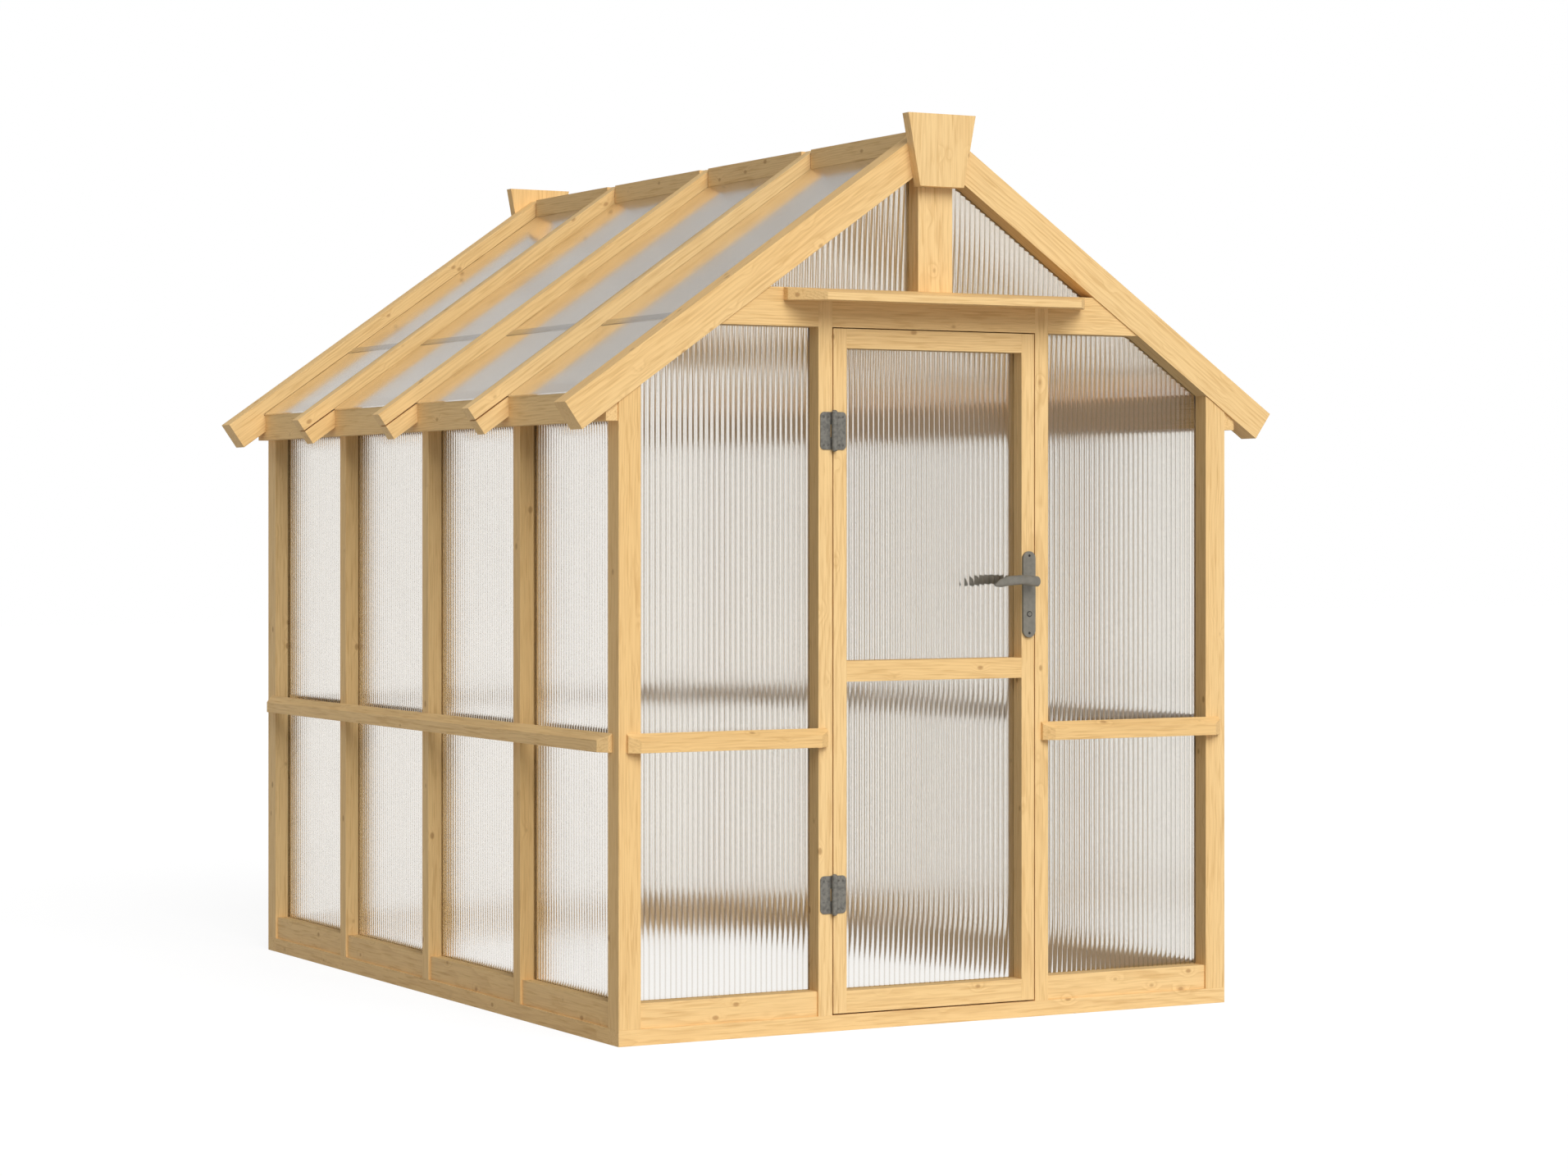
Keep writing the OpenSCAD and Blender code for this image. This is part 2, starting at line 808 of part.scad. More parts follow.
module rear_sill() {
    reach = half_w - sill_corner_front;
    pine() to_rear() translate([0, -half_d, 0]) sill(-reach, reach);
}

module door_canopy() {
    pine() translate([0, -half_d, tie_top - canopy_back_t])
        sill_strip(-canopy_w / 2, canopy_w / 2, canopy_out, canopy_back_t, canopy_front_t,
            canopy_fall, canopy_square, canopy_bevel);
}

// Reeded sheet from x0 to x1: a flat back and upright round ribs, with their crests at y = 0
module reeded_sheet(x0, x1, z0, z1) {
    middle = (x0 + x1) / 2;
    side_ribs = ceil((x1 - x0) / 2 / rib_pitch);
    translate([0, 0, z0]) linear_extrude(z1 - z0) intersection() {
        translate([x0, 0]) square([x1 - x0, wall_sheet_t]);
        for (i = [-side_ribs : side_ribs])
            translate([middle + i * rib_pitch, rib_r]) circle(r = rib_r, $fn = rib_facets);
    }
}

// Reeded sheet in an end wall, cut to an outline that reaches from x0 to x1
module end_sheet(x0, x1) {
    translate([0, -end_sheet_y, 0]) intersection() {
        reeded_sheet(x0 - cut, x1 + cut, sole_h, ridge_flat_z);
        along_y(-cut, wall_sheet_t + cut) children();
    }
}

module wing_sheets() {
    both_x() end_sheet(jamb_x - sheet_lap, inner_x + sheet_lap) wing_outline(sheet_lap);
}

module front_wall_panes() {
    reeded() wing_sheets();
}

module rear_wall_panes() {
    reach = opening_x + sheet_lap;
    reeded() to_rear() {
        wing_sheets();
        translate([0, -end_sheet_y, 0])
            reeded_sheet(-reach, reach, board_top - sheet_lap, tie_z + sheet_lap);
    }
}

module gable_panes() {
    rise = sheet_lap / cos(roof_pitch);
    reeded() both_y() both_x()
        end_sheet(king_w / 2 - sheet_lap, under_x(tie_top - sheet_lap - rise)) gable_outline(sheet_lap);
}

module side_wall_panes() {
    reeded() both_x() translate([side_sheet_x, 0, 0]) rotate([0, 0, 90]) for (i = [0 : stud_count])
        reeded_sheet(bay_start(i, stud_w) - sheet_lap, bay_end(i, stud_w) + sheet_lap,
            board_top - sheet_lap, plate_z + sheet_lap);
}

// Roof sheets: a short one at the eave and a long one to the ridge in each bay
module roof_sheets() {
    joint = down(sheet_joint_x, sheet_v);
    joint_edge = joiner_web / 2 + joiner_room;
    ridge_end = down(sheet_gap, sheet_v);
    eave_end = down(sheet_end_x, sheet_v);
    reach = gable_inner_y + rebate_w - sheet_gap;
    for (i = [0 : stud_count]) {
        y0 = i == 0 ? -reach : stud_y(i - 1) + sheet_gap;
        y1 = i == stud_count ? reach : stud_y(i) - sheet_gap;
        on_slope() {
            box([ridge_end, y0, sheet_v], [joint - joint_edge, y1, batten_v]);
            box([joint + joint_edge, y0, sheet_v], [eave_end, y1, batten_v]);
        }
    }
}

module right_roof_panes() {
    reeded() roof_sheets();
}

module left_roof_panes() {
    reeded() mirror([1, 0, 0]) roof_sheets();
}

// Joiner strips of H section between the short and the long roof sheets
module roof_joiners() {
    joint = down(sheet_joint_x, sheet_v);
    reeded() both_x() on_slope() for (i = [0 : stud_count]) {
        y0 = i == 0 ? -gable_inner_y + joint_gap : stud_y(i - 1) + rafter_w / 2 + joint_gap;
        y1 = i == stud_count ? gable_inner_y - joint_gap : stud_y(i) - rafter_w / 2 - joint_gap;
        box([joint - joiner_web / 2, y0, sheet_v - joiner_t],
            [joint + joiner_web / 2, y1, batten_v + joiner_t]);
        for (v = [sheet_v - joiner_t, batten_v])
            box([joint - joiner_w / 2, y0, v], [joint + joiner_w / 2, y1, v + joiner_t]);
    }
}

// Beads of the end walls, each cut a little short of its neighbours
module bead_strip() {
    along_y(-end_sheet_y + wall_sheet_t, -inner_y) children();
}

module wing_beads() {
    rise = joint_gap / cos(roof_pitch);
    tie_corner = under_x(tie_z);
    bead_strip() polygon([
        [jamb_x - rebate_w, rebate_z], [jamb_x, rebate_z],
        [jamb_x, tie_z + rebate_w], [jamb_x - rebate_w, tie_z + rebate_w]
    ]);
    bead_strip() polygon([
        [jamb_x + joint_gap, rebate_z], [inner_x - joint_gap, rebate_z],
        [inner_x - joint_gap, board_top], [jamb_x + joint_gap, board_top]
    ]);
    bead_strip() polygon([
        [jamb_x + joint_gap, tie_z], [under_x(tie_z + rise), tie_z],
        [under_x(tie_z + rebate_w + rise), tie_z + rebate_w], [jamb_x + joint_gap, tie_z + rebate_w]
    ]);
    bead_strip() slope_groove(0, rebate_w, tie_corner, inner_x + rebate_w);
    bead_strip() polygon([
        [inner_x, rebate_z], [inner_x + rebate_w, rebate_z],
        [inner_x + rebate_w, under_z(inner_x + rebate_w) - rise], [inner_x, under_z(inner_x) - rise]
    ]);
}

module gable_beads() {
    rise = joint_gap / cos(roof_pitch);
    half = king_w / 2;
    bead_z = tie_top - rebate_w;
    bead_strip() polygon([
        [half - rebate_w, bead_z], [half, bead_z],
        [half, under_z(half) - rise], [half - rebate_w, under_z(half - rebate_w) - rise]
    ]);
    bead_strip() polygon([
        [half + joint_gap, bead_z], [under_x(bead_z + rise), bead_z],
        [under_x(tie_top + rise), tie_top], [half + joint_gap, tie_top]
    ]);
    bead_strip() slope_groove(0, rebate_w, half - rebate_w, under_x(tie_top));
}

module end_wall_beads() {
    pine() {
        both_y() both_x() {
            wing_beads();
            gable_beads();
        }
        to_rear() {
            both_x() bead_strip() polygon([
                [opening_x, rebate_z], [opening_x + rebate_w, rebate_z],
                [opening_x + rebate_w, tie_z + rebate_w], [opening_x, tie_z + rebate_w]
            ]);
            for (z = [rebate_z, tie_z]) box(
                [-opening_x + joint_gap, -end_sheet_y + wall_sheet_t, z],
                [opening_x - joint_gap, -inner_y, z + rebate_w]);
        }
    }
}

// Beads of the side walls, two upright and two level in each bay
module side_wall_beads() {
    bead_x = side_sheet_x - wall_sheet_t;
    post_bead = end_setback + wall_sheet_t;
    pine() both_x() for (i = [0 : stud_count]) {
        y0 = bay_start(i, stud_w);
        y1 = bay_end(i, stud_w);
        lap0 = i == 0 ? wall_t - post_bead : rebate_w;
        lap1 = i == stud_count ? wall_t - post_bead : rebate_w;
        in0 = i == 0 ? inner_x + rebate_w + joint_gap : inner_x;
        in1 = i == stud_count ? inner_x + rebate_w + joint_gap : inner_x;
        box([in0, y0 - lap0, rebate_z], [bead_x, y0, plate_z + rebate_w]);
        box([in1, y1, rebate_z], [bead_x, y1 + lap1, plate_z + rebate_w]);
        for (z = [rebate_z, plate_z])
            box([inner_x, y0 + joint_gap, z], [bead_x, y1 - joint_gap, z + rebate_w]);
    }
}

// Door stile with a scribed line where its cover board ends, and its free edge planed by bevel
module stile(bevel) {
    difference() {
        linear_extrude(door_top - door_z) polygon([
            [glass_x, door_y], [door_x, door_y], [door_x, door_mid + faceplate_w / 2 + edge_land],
            [door_x - bevel, door_back], [glass_x, door_back]
        ]);
        box([glass_x - cut, door_y + cover_t - scribe, -cut],
            [glass_x + scribe, door_y + cover_t, door_top]);
        box([glass_x - cut, door_sheet_y, bottom_rail_h - rebate_w],
            [glass_x + rebate_w, door_back + cut, door_top - door_z - top_rail_h + rebate_w]);
    }
}

// Both stiles, the right one with its mortises for the lock
module door_stiles() {
    room = case_t / 2 + housing_gap;
    pine() {
        translate([0, 0, door_z]) mirror([1, 0, 0]) stile(0);
        difference() {
            translate([0, 0, door_z]) stile(edge_bevel);
            box([case_x0 - housing_gap, door_mid - room, case_z - case_h / 2 - housing_gap],
                [door_x + cut, door_mid + room, case_z + case_h / 2 + housing_gap]);
            box([case_x1, door_mid - faceplate_w / 2, case_z - faceplate_h / 2],
                [door_x + cut, door_mid + faceplate_w / 2, case_z + faceplate_h / 2]);
            rod_y(lever_x, lever_z, neck_r + housing_gap, door_y - cut, door_back + cut);
            rod_y(lever_x, key_z, cylinder_r + housing_gap, door_y - cut, door_back + cut);
        }
    }
}

// Door rail from z0 to z1, rebated at the edges that meet a sheet
module rail(z0, z1, low_rebate, high_rebate) {
    difference() {
        box([-glass_x, door_y, z0], [glass_x, door_back, z1]);
        if (low_rebate) box([-glass_x - cut, door_sheet_y, z0 - cut],
            [glass_x + cut, door_back + cut, z0 + rebate_w]);
        if (high_rebate) box([-glass_x - cut, door_sheet_y, z1 - rebate_w],
            [glass_x + cut, door_back + cut, z1 + cut]);
    }
}

module door_rails() {
    pine() {
        rail(door_z, door_z + bottom_rail_h, false, true);
        rail(mid_rail_z, mid_rail_z + mid_rail_h, true, true);
        rail(door_top - top_rail_h, door_top, true, false);
    }
}

// Lower and upper edges of the door's two openings
door_bays = [
    [door_z + bottom_rail_h, mid_rail_z],
    [mid_rail_z + mid_rail_h, door_top - top_rail_h]
];

module door_panes() {
    reach = glass_x + sheet_lap;
    reeded() translate([0, door_sheet_y, 0]) for (bay = door_bays)
        reeded_sheet(-reach, reach, bay[0] - sheet_lap, bay[1] + sheet_lap);
}

module door_beads() {
    pine() for (bay = door_bays) {
        both_x() box([glass_x, bead_back_y, bay[0] - rebate_w],
            [glass_x + rebate_w, door_back, bay[1] + rebate_w]);
        for (z = [bay[0] - rebate_w, bay[1]])
            box([-glass_x + joint_gap, bead_back_y, z],
                [glass_x - joint_gap, door_back, z + rebate_w]);
    }
}

// Surface hinges. Outline of a leaf in X and Z round the hinge's middle
module leaf_outline(x0) {
    r = leaf_corner_r;
    difference() {
        translate([x0, -leaf_h / 2]) square([leaf_w - x0, leaf_h]);
        for (s = [-1, 1]) translate([leaf_w - r, s * (leaf_h / 2 - r)]) difference() {
            translate([0, s > 0 ? 0 : -r - cut]) square([r + cut, r + cut]);
            circle(r = r);
        }
    }
}

// Leaf with knuckles between the heights in spans, given as fractions of a knuckle
module hinge_leaf(spans) {
    difference() {
        union() {
            along_y(pin_out - leaf_t, pin_out) leaf_outline(pin_out);
            for (s = spans) {
                translate([0, pin_out - leaf_t, s[0]]) cube([pin_out + cut, leaf_t, s[1] - s[0]]);
                translate([0, 0, s[0]]) cylinder(r = knuckle_r, h = s[1] - s[0]);
            }
        }
        translate([0, 0, -leaf_h]) cylinder(r = pin_r + running_gap, h = 2 * leaf_h);
    }
}

module at_hinges() {
    for (z = hinge_zs) translate([hinge_x, hinge_y, z]) children();
}

module frame_hinge_leaves() {
    low = [-leaf_h / 2, -knuckle_h / 2 - knuckle_gap / 2];
    high = [knuckle_h / 2 + knuckle_gap / 2, leaf_h / 2];
    metal() at_hinges() mirror([1, 0, 0]) hinge_leaf([low, high]);
}

module door_hinge_leaves() {
    metal() at_hinges() hinge_leaf([[-knuckle_h / 2 + knuckle_gap / 2, knuckle_h / 2 - knuckle_gap / 2]]);
}

module hinge_pins() {
    metal() at_hinges() {
        translate([0, 0, -leaf_h / 2]) cylinder(r = pin_r, h = leaf_h);
        for (s = [0, 1]) mirror([0, 0, s]) translate([0, 0, leaf_h / 2]) intersection() {
            scale_r = (knuckle_r * knuckle_r + pin_cap_h * pin_cap_h) / (2 * pin_cap_h);
            translate([0, 0, pin_cap_h - scale_r]) sphere(r = scale_r);
            cylinder(r = knuckle_r, h = pin_cap_h);
        }
    }
}

// Strike plate let into the lock-side jamb
module strike_plate() {
    metal() difference() {
        strike_outline(opening_x);
        bolt_pocket(latch_z, latch_h, latch_reach, opening_x - cut);
        bolt_pocket(dead_z, dead_h, dead_travel, opening_x - cut);
    }
}

// Lock case: a flat box with holes for the cylinder, the spindle and both bolts
module lock_case() {
    half_t = case_t / 2;
    metal() difference() {
        box([case_x0, door_mid - half_t, case_z - case_h / 2],
            [case_x1, door_mid + half_t, case_z + case_h / 2]);
        box([case_x0 + case_wall, door_mid - half_t + case_wall, case_z - case_h / 2 + case_wall],
            [case_x1 - case_wall, door_mid + half_t - case_wall, case_z + case_h / 2 - case_wall]);
        rod_y(lever_x, lever_z, neck_r - hub_step, door_y, door_back);
        rod_y(lever_x, key_z, cylinder_r + housing_gap, door_y, door_back);
        bolt_slots();
    }
}

// Holes that guide both bolts through the case's edge and the faceplate
module bolt_slots() {
    half_t = bolt_t / 2 + slide_gap;
    for (b = [[latch_z, latch_h], [dead_z, dead_h]])
        box([case_x1 - case_wall - cut, door_mid - half_t, b[0] - b[1] / 2 - slide_gap],
            [door_x + cut, door_mid + half_t, b[0] + b[1] / 2 + slide_gap]);
}

module lock_faceplate() {
    metal() difference() {
        box([case_x1, door_mid - faceplate_w / 2, case_z - faceplate_h / 2],
            [door_x, door_mid + faceplate_w / 2, case_z + faceplate_h / 2]);
        bolt_slots();
    }
}

// Long plates with round ends on both faces of the door
module handle_plate(w, y0, y1) {
    difference() {
        along_y(y0, y1) union() {
            translate([lever_x - w / 2, plate_z1 - plate_h + w / 2]) square([w, plate_h - w]);
            translate([lever_x, plate_z1 - w / 2]) circle(d = w);
            translate([lever_x, plate_z1 - plate_h + w / 2]) circle(d = w);
        }
        rod_y(lever_x, lever_z, neck_r + running_gap, y0 - cut, y1 + cut);
        rod_y(lever_x, key_z, cylinder_r + running_gap, y0 - cut, y1 + cut);
    }
}

module handle_plates() {
    metal() {
        handle_plate(plate_w, door_y - plate_t, door_y);
        handle_plate(inner_plate_w, door_back, door_back + plate_t);
    }
}

// Lock cylinder in two halves, with the cam between them
module lock_cylinder() {
    half_gap = 3;
    metal() difference() {
        union() {
            rod_y(lever_x, key_z, cylinder_r, cylinder_y0, door_mid - half_gap);
            rod_y(lever_x, key_z, cylinder_r, door_mid + half_gap, cylinder_y1);
        }
        rod_y(lever_x, key_z, plug_r + running_gap, cylinder_y0 - cut, cylinder_y1 + cut);
    }
}

// Key plug with its cam, and a key slot in each end
module lock_plug() {
    slot_w = 1.6;
    slot_h = 7;
    slot_depth = 12;
    cam_t = 4;
    metal() difference() {
        union() {
            rod_y(lever_x, key_z, plug_r, cylinder_y0, cylinder_y1);
            box([lever_x - arm_w / 2, door_mid - cam_t / 2, key_z],
                [lever_x + arm_w / 2, door_mid + cam_t / 2, key_z + cam_r]);
        }
        for (y = [cylinder_y0 - cut, cylinder_y1 - slot_depth])
            box([lever_x - slot_w / 2, y, key_z - slot_h / 2],
                [lever_x + slot_w / 2, y + slot_depth + cut, key_z + slot_h / 2]);
    }
}

// Bolts. The dead bolt rests inside the door, the latch bolt reaches into the strike
module bolt(z, h, x1) {
    box([x1 - bolt_len, door_mid - bolt_t / 2, z - h / 2], [x1, door_mid + bolt_t / 2, z + h / 2]);
}

module dead_bolt() {
    metal() bolt(dead_z, dead_h, door_x);
}

module latch_bolt() {
    tip = door_x + latch_reach;
    metal() difference() {
        bolt(latch_z, latch_h, tip);
        translate([0, 0, latch_z - far / 2]) linear_extrude(far) polygon([
            [tip + cut, door_mid - bolt_t / 2 + latch_nose], [tip + cut, door_mid + bolt_t],
            [door_x + cut, door_mid + bolt_t], [door_x + cut, door_mid + bolt_t / 2],
            [tip, door_mid - bolt_t / 2 + latch_nose]
        ]);
    }
}

// Blend of the lever's round sections: distance from its axis, height and half sizes
lever_run = [
    [0, 1, 11, 9, 14.5],
    [0.35, 6, 13, 8.5, 13],
    [0.7, 3, 13, 8, 13.5],
    [0.88, -3, 9, 7, 11],
    [1, -8.5, 4, 4, 4]
];
lever_tip_r = lever_run[len(lever_run) - 1][2];

module lever_blob(p) {
    translate([lever_x - p[0] * (lever_len - lever_tip_r), -lever_out, lever_z + p[1]])
        scale([p[2], p[3], p[4]]) sphere(r = 1, $fn = lever_facets);
}

module lever() {
    for (i = [0 : len(lever_run) - 2]) hull() {
        lever_blob(lever_run[i]);
        lever_blob(lever_run[i + 1]);
    }
    rod_y(lever_x, lever_z, neck_r, -lever_out, 0);
}

// Both levers on one square spindle, with the follower that draws the latch back
module lever_handles() {
    half_t = bolt_t / 2;
    metal() {
        translate([0, door_y, 0]) lever();
        translate([0, door_back, 0]) mirror([0, 1, 0]) lever();
        box([lever_x - spindle_w / 2, door_y - cut, lever_z - spindle_w / 2],
            [lever_x + spindle_w / 2, door_back + cut, lever_z + spindle_w / 2]);
        rod_y(lever_x, lever_z, neck_r, door_mid - half_t, door_mid + half_t);
        box([lever_x - arm_w / 2, door_mid - half_t, lever_z],
            [lever_x + arm_w / 2, door_mid + half_t, lever_z + follower_arm]);
    }
}

front_sole();
rear_sole();
side_soles();
front_corner_posts();
rear_corner_posts();
front_bottom_boards();
rear_bottom_boards();
side_bottom_boards();
side_studs();
side_cover_boards();
rear_studs();
rear_cover_boards();
door_jambs();
front_cover_boards();
door_stops();
front_tie_beam();
rear_tie_beam();
front_king_post();
rear_king_post();
wall_plates();
eave_beams();
front_gable_rafters();
rear_gable_rafters();
left_rafters();
right_rafters();
left_rafter_battens();
right_rafter_battens();
ridge_beam();
ridge_caps();
front_ridge_ornament();
rear_ridge_ornament();
side_sills();
front_sills();
rear_sill();
door_canopy();
front_wall_panes();
rear_wall_panes();
side_wall_panes();
gable_panes();
left_roof_panes();
right_roof_panes();
roof_joiners();
end_wall_beads();
side_wall_beads();
frame_hinge_leaves();
hinge_pins();
strike_plate();
door_stiles();
door_rails();
door_panes();
door_beads();
door_hinge_leaves();
lock_case();
lock_faceplate();
handle_plates();
lock_cylinder();
lock_plug();
dead_bolt();
latch_bolt();
lever_handles();
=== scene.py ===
from math import radians, tan

import bmesh
import bpy
from mathutils import Matrix, Vector


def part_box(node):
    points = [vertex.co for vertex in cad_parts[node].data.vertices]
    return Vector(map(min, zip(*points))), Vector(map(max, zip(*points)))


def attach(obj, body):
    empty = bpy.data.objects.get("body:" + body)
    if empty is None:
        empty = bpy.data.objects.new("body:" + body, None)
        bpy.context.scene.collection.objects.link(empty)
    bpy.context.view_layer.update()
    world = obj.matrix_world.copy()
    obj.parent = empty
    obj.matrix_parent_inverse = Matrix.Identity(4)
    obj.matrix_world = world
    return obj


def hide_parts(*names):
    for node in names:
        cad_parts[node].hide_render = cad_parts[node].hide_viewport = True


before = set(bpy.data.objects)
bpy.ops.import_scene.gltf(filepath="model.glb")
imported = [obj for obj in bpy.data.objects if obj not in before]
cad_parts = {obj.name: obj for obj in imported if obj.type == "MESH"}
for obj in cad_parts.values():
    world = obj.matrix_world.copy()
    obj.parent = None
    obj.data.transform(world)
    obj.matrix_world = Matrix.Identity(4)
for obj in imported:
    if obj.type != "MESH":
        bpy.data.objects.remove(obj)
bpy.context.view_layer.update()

scene = bpy.context.scene

# Soles and bottom boards: planed softwood that lies on the ground and carries the posts.
# The end soles run under the corner posts and the side ones butt between them, and every
# timber of the building is planed, with its arrises just taken off.
ARRIS = 0.0006
ARRIS_STEPS = 2
SHARP_EDGE = radians(25)
SAME_POINT = 1e-5

PALE_PINE = (0.93, 0.648, 0.308, 1)
GOLDEN_PINE = (0.89, 0.588, 0.255, 1)
LATE_WOOD = (0.62, 0.35, 0.125, 1)
STREAK_BROWN = (0.64, 0.37, 0.13, 1)
FIBRE_BROWN = (0.55, 0.31, 0.11, 1)
KNOT_BROWN = (0.42, 0.21, 0.075, 1)
LATE_SHARE = 0.34
STREAK_SHARE = 0.42
FIBRE_SHARE = 0.30
KNOT_SHARE = 0.66

# Cells to the metre of each part of the pine's figure, along the grain and both ways across it
BOARD_CELLS = (0.2, 4.2, 4.2)
WANDER_CELLS = (1.6, 7.0, 7.0)
PATCH_CELLS = (4.0, 26.0, 26.0)
STREAK_CELLS = (9.0, 150.0, 150.0)
FIBRE_CELLS = (7.0, 240.0, 240.0)
KNOT_CELLS = (9.0, 14.0, 14.0)

# Growth rings, round a pith that lies beside the boards
PITH_Y = -0.31
PITH_Z = -0.17
RING_WIDTH = 0.0070
WANDER_RINGS = 7.0
LATE_STARTS = 0.40
LATE_DARKEST = 0.90
FAINTEST_RINGS = 0.25

# Knots, in shares of a cell, and the rings that they push aside
KNOT_EDGE = (0.05, 0.12)
SWIRL_REACH = 0.35
SWIRL_RINGS = 1.6

# Levels of the noise between which each part of the figure comes in
BOARD_LEVELS = (0.3, 0.7)
PATCH_LEVELS = (0.35, 0.62)
STREAK_LEVELS = (0.55, 0.68)
FIBRE_LEVELS = (0.48, 0.70)

# Planed face: late wood and fibres stand up, streaks lie lower
LATE_RISE = 0.4
FIBRE_RISE = 0.5
STREAK_FALL = 1.6
GRAIN_DEPTH = 0.0008
GRAIN_BUMP = 0.45
EARLY_ROUGHNESS = 0.66
LATE_ROUGHNESS = 0.52
PINE_SPECULAR = 0.3
OTHER_LOG = 3.7


def add(tree, kind, inputs=(), **settings):
    """A node of that kind, with its settings, and a value or another node's output on each input."""
    node = tree.nodes.new(kind)
    for name, value in settings.items():
        setattr(node, name, value)
    for key, value in dict(inputs).items():
        if isinstance(value, bpy.types.NodeSocket):
            tree.links.new(value, node.inputs[key])
        else:
            node.inputs[key].default_value = value
    return node


def maths(tree, operation, *values):
    """Result of a sum on numbers or on other nodes' outputs."""
    return add(tree, "ShaderNodeMath", enumerate(values), operation=operation).outputs[0]


def blend(tree, share, first, second):
    """Colour between two colours, which are inputs 6 and 7 and output 2 of the node."""
    return add(tree, "ShaderNodeMix", {0: share, 6: first, 7: second}, data_type="RGBA").outputs[2]


def ranged(tree, value, start, end, first=0.0, last=1.0, **settings):
    """Value that goes from first to last while the given one goes from start to end, and stays there."""
    inputs = {"Value": value, "From Min": start, "From Max": end, "To Min": first, "To Max": last}
    return add(tree, "ShaderNodeMapRange", inputs, **settings).outputs[0]


def noise(tree, place, cells, detail):
    """Noise with that many cells to the metre along each axis."""
    stretched = add(tree, "ShaderNodeMapping", {"Vector": place, "Scale": cells}).outputs[0]
    return add(tree, "ShaderNodeTexNoise", {"Vector": stretched, "Scale": 1.0, "Detail": detail}).outputs[0]


def pine_grain():
    """Growth rings, fibres, streaks and knots, with X along the grain, and a tone for each board."""
    tree = bpy.data.node_groups.new("pine_grain", "ShaderNodeTree")
    tree.interface.new_socket("Vector", in_out="INPUT", socket_type="NodeSocketVector")
    tree.interface.new_socket("Color", in_out="OUTPUT", socket_type="NodeSocketColor")
    tree.interface.new_socket("Relief", in_out="OUTPUT", socket_type="NodeSocketFloat")
    place = add(tree, "NodeGroupInput").outputs[0]

    knot_cells = add(tree, "ShaderNodeMapping", {"Vector": place, "Scale": KNOT_CELLS}).outputs[0]
    knots = add(tree, "ShaderNodeTexVoronoi", {"Vector": knot_cells, "Scale": 1.0, "Randomness": 1.0})
    to_knot = knots.outputs["Distance"]
    knot = ranged(tree, to_knot, *KNOT_EDGE, 1.0, 0.0, interpolation_type="SMOOTHSTEP")
    swirl = ranged(tree, to_knot, 0.0, SWIRL_REACH, SWIRL_RINGS, 0.0, interpolation_type="SMOOTHSTEP")

    wander = noise(tree, place, WANDER_CELLS, detail=3.0)
    across = add(tree, "ShaderNodeSeparateXYZ", {0: place})
    from_pith_y = maths(tree, "SUBTRACT", across.outputs["Y"], PITH_Y)
    from_pith_z = maths(tree, "SUBTRACT", across.outputs["Z"], PITH_Z)
    radius = maths(tree, "SQRT", maths(
        tree, "ADD", maths(tree, "POWER", from_pith_y, 2.0), maths(tree, "POWER", from_pith_z, 2.0)))
    rings = maths(tree, "DIVIDE", radius, RING_WIDTH)
    rings = maths(tree, "ADD", rings, maths(tree, "MULTIPLY", wander, WANDER_RINGS))
    rings = maths(tree, "ADD", rings, swirl)
    late = add(tree, "ShaderNodeValToRGB", {0: maths(tree, "FRACT", rings)})
    late.color_ramp.elements[0].position = LATE_STARTS
    late.color_ramp.elements[1].position = LATE_DARKEST
    late.color_ramp.elements.new(1.0).color = (0.0, 0.0, 0.0, 1)
    patch = noise(tree, place, PATCH_CELLS, detail=1.0)
    late = maths(tree, "MULTIPLY", late.outputs[0], ranged(tree, patch, *PATCH_LEVELS, FAINTEST_RINGS))

    fibre = noise(tree, place, FIBRE_CELLS, detail=3.0)
    streak = noise(tree, place, STREAK_CELLS, detail=2.0)
    board = noise(tree, place, BOARD_CELLS, detail=0.0)
    dark_streak = ranged(tree, streak, *STREAK_LEVELS, 0.0, STREAK_SHARE)
    dark_fibre = ranged(tree, fibre, *FIBRE_LEVELS, 0.0, FIBRE_SHARE)

    wood = blend(tree, ranged(tree, board, *BOARD_LEVELS), PALE_PINE, GOLDEN_PINE)
    wood = blend(tree, maths(tree, "MULTIPLY", late, LATE_SHARE), wood, LATE_WOOD)
    wood = blend(tree, dark_streak, wood, STREAK_BROWN)
    wood = blend(tree, dark_fibre, wood, FIBRE_BROWN)
    wood = blend(tree, maths(tree, "MULTIPLY", knot, KNOT_SHARE), wood, KNOT_BROWN)
    relief = maths(tree, "ADD", maths(tree, "MULTIPLY", late, LATE_RISE),
                   maths(tree, "MULTIPLY", fibre, FIBRE_RISE))
    relief = maths(tree, "SUBTRACT", relief, maths(tree, "MULTIPLY", dark_streak, STREAK_FALL))
    add(tree, "NodeGroupOutput", {"Color": wood, "Relief": relief})
    return tree


PINE_GRAIN = pine_grain()


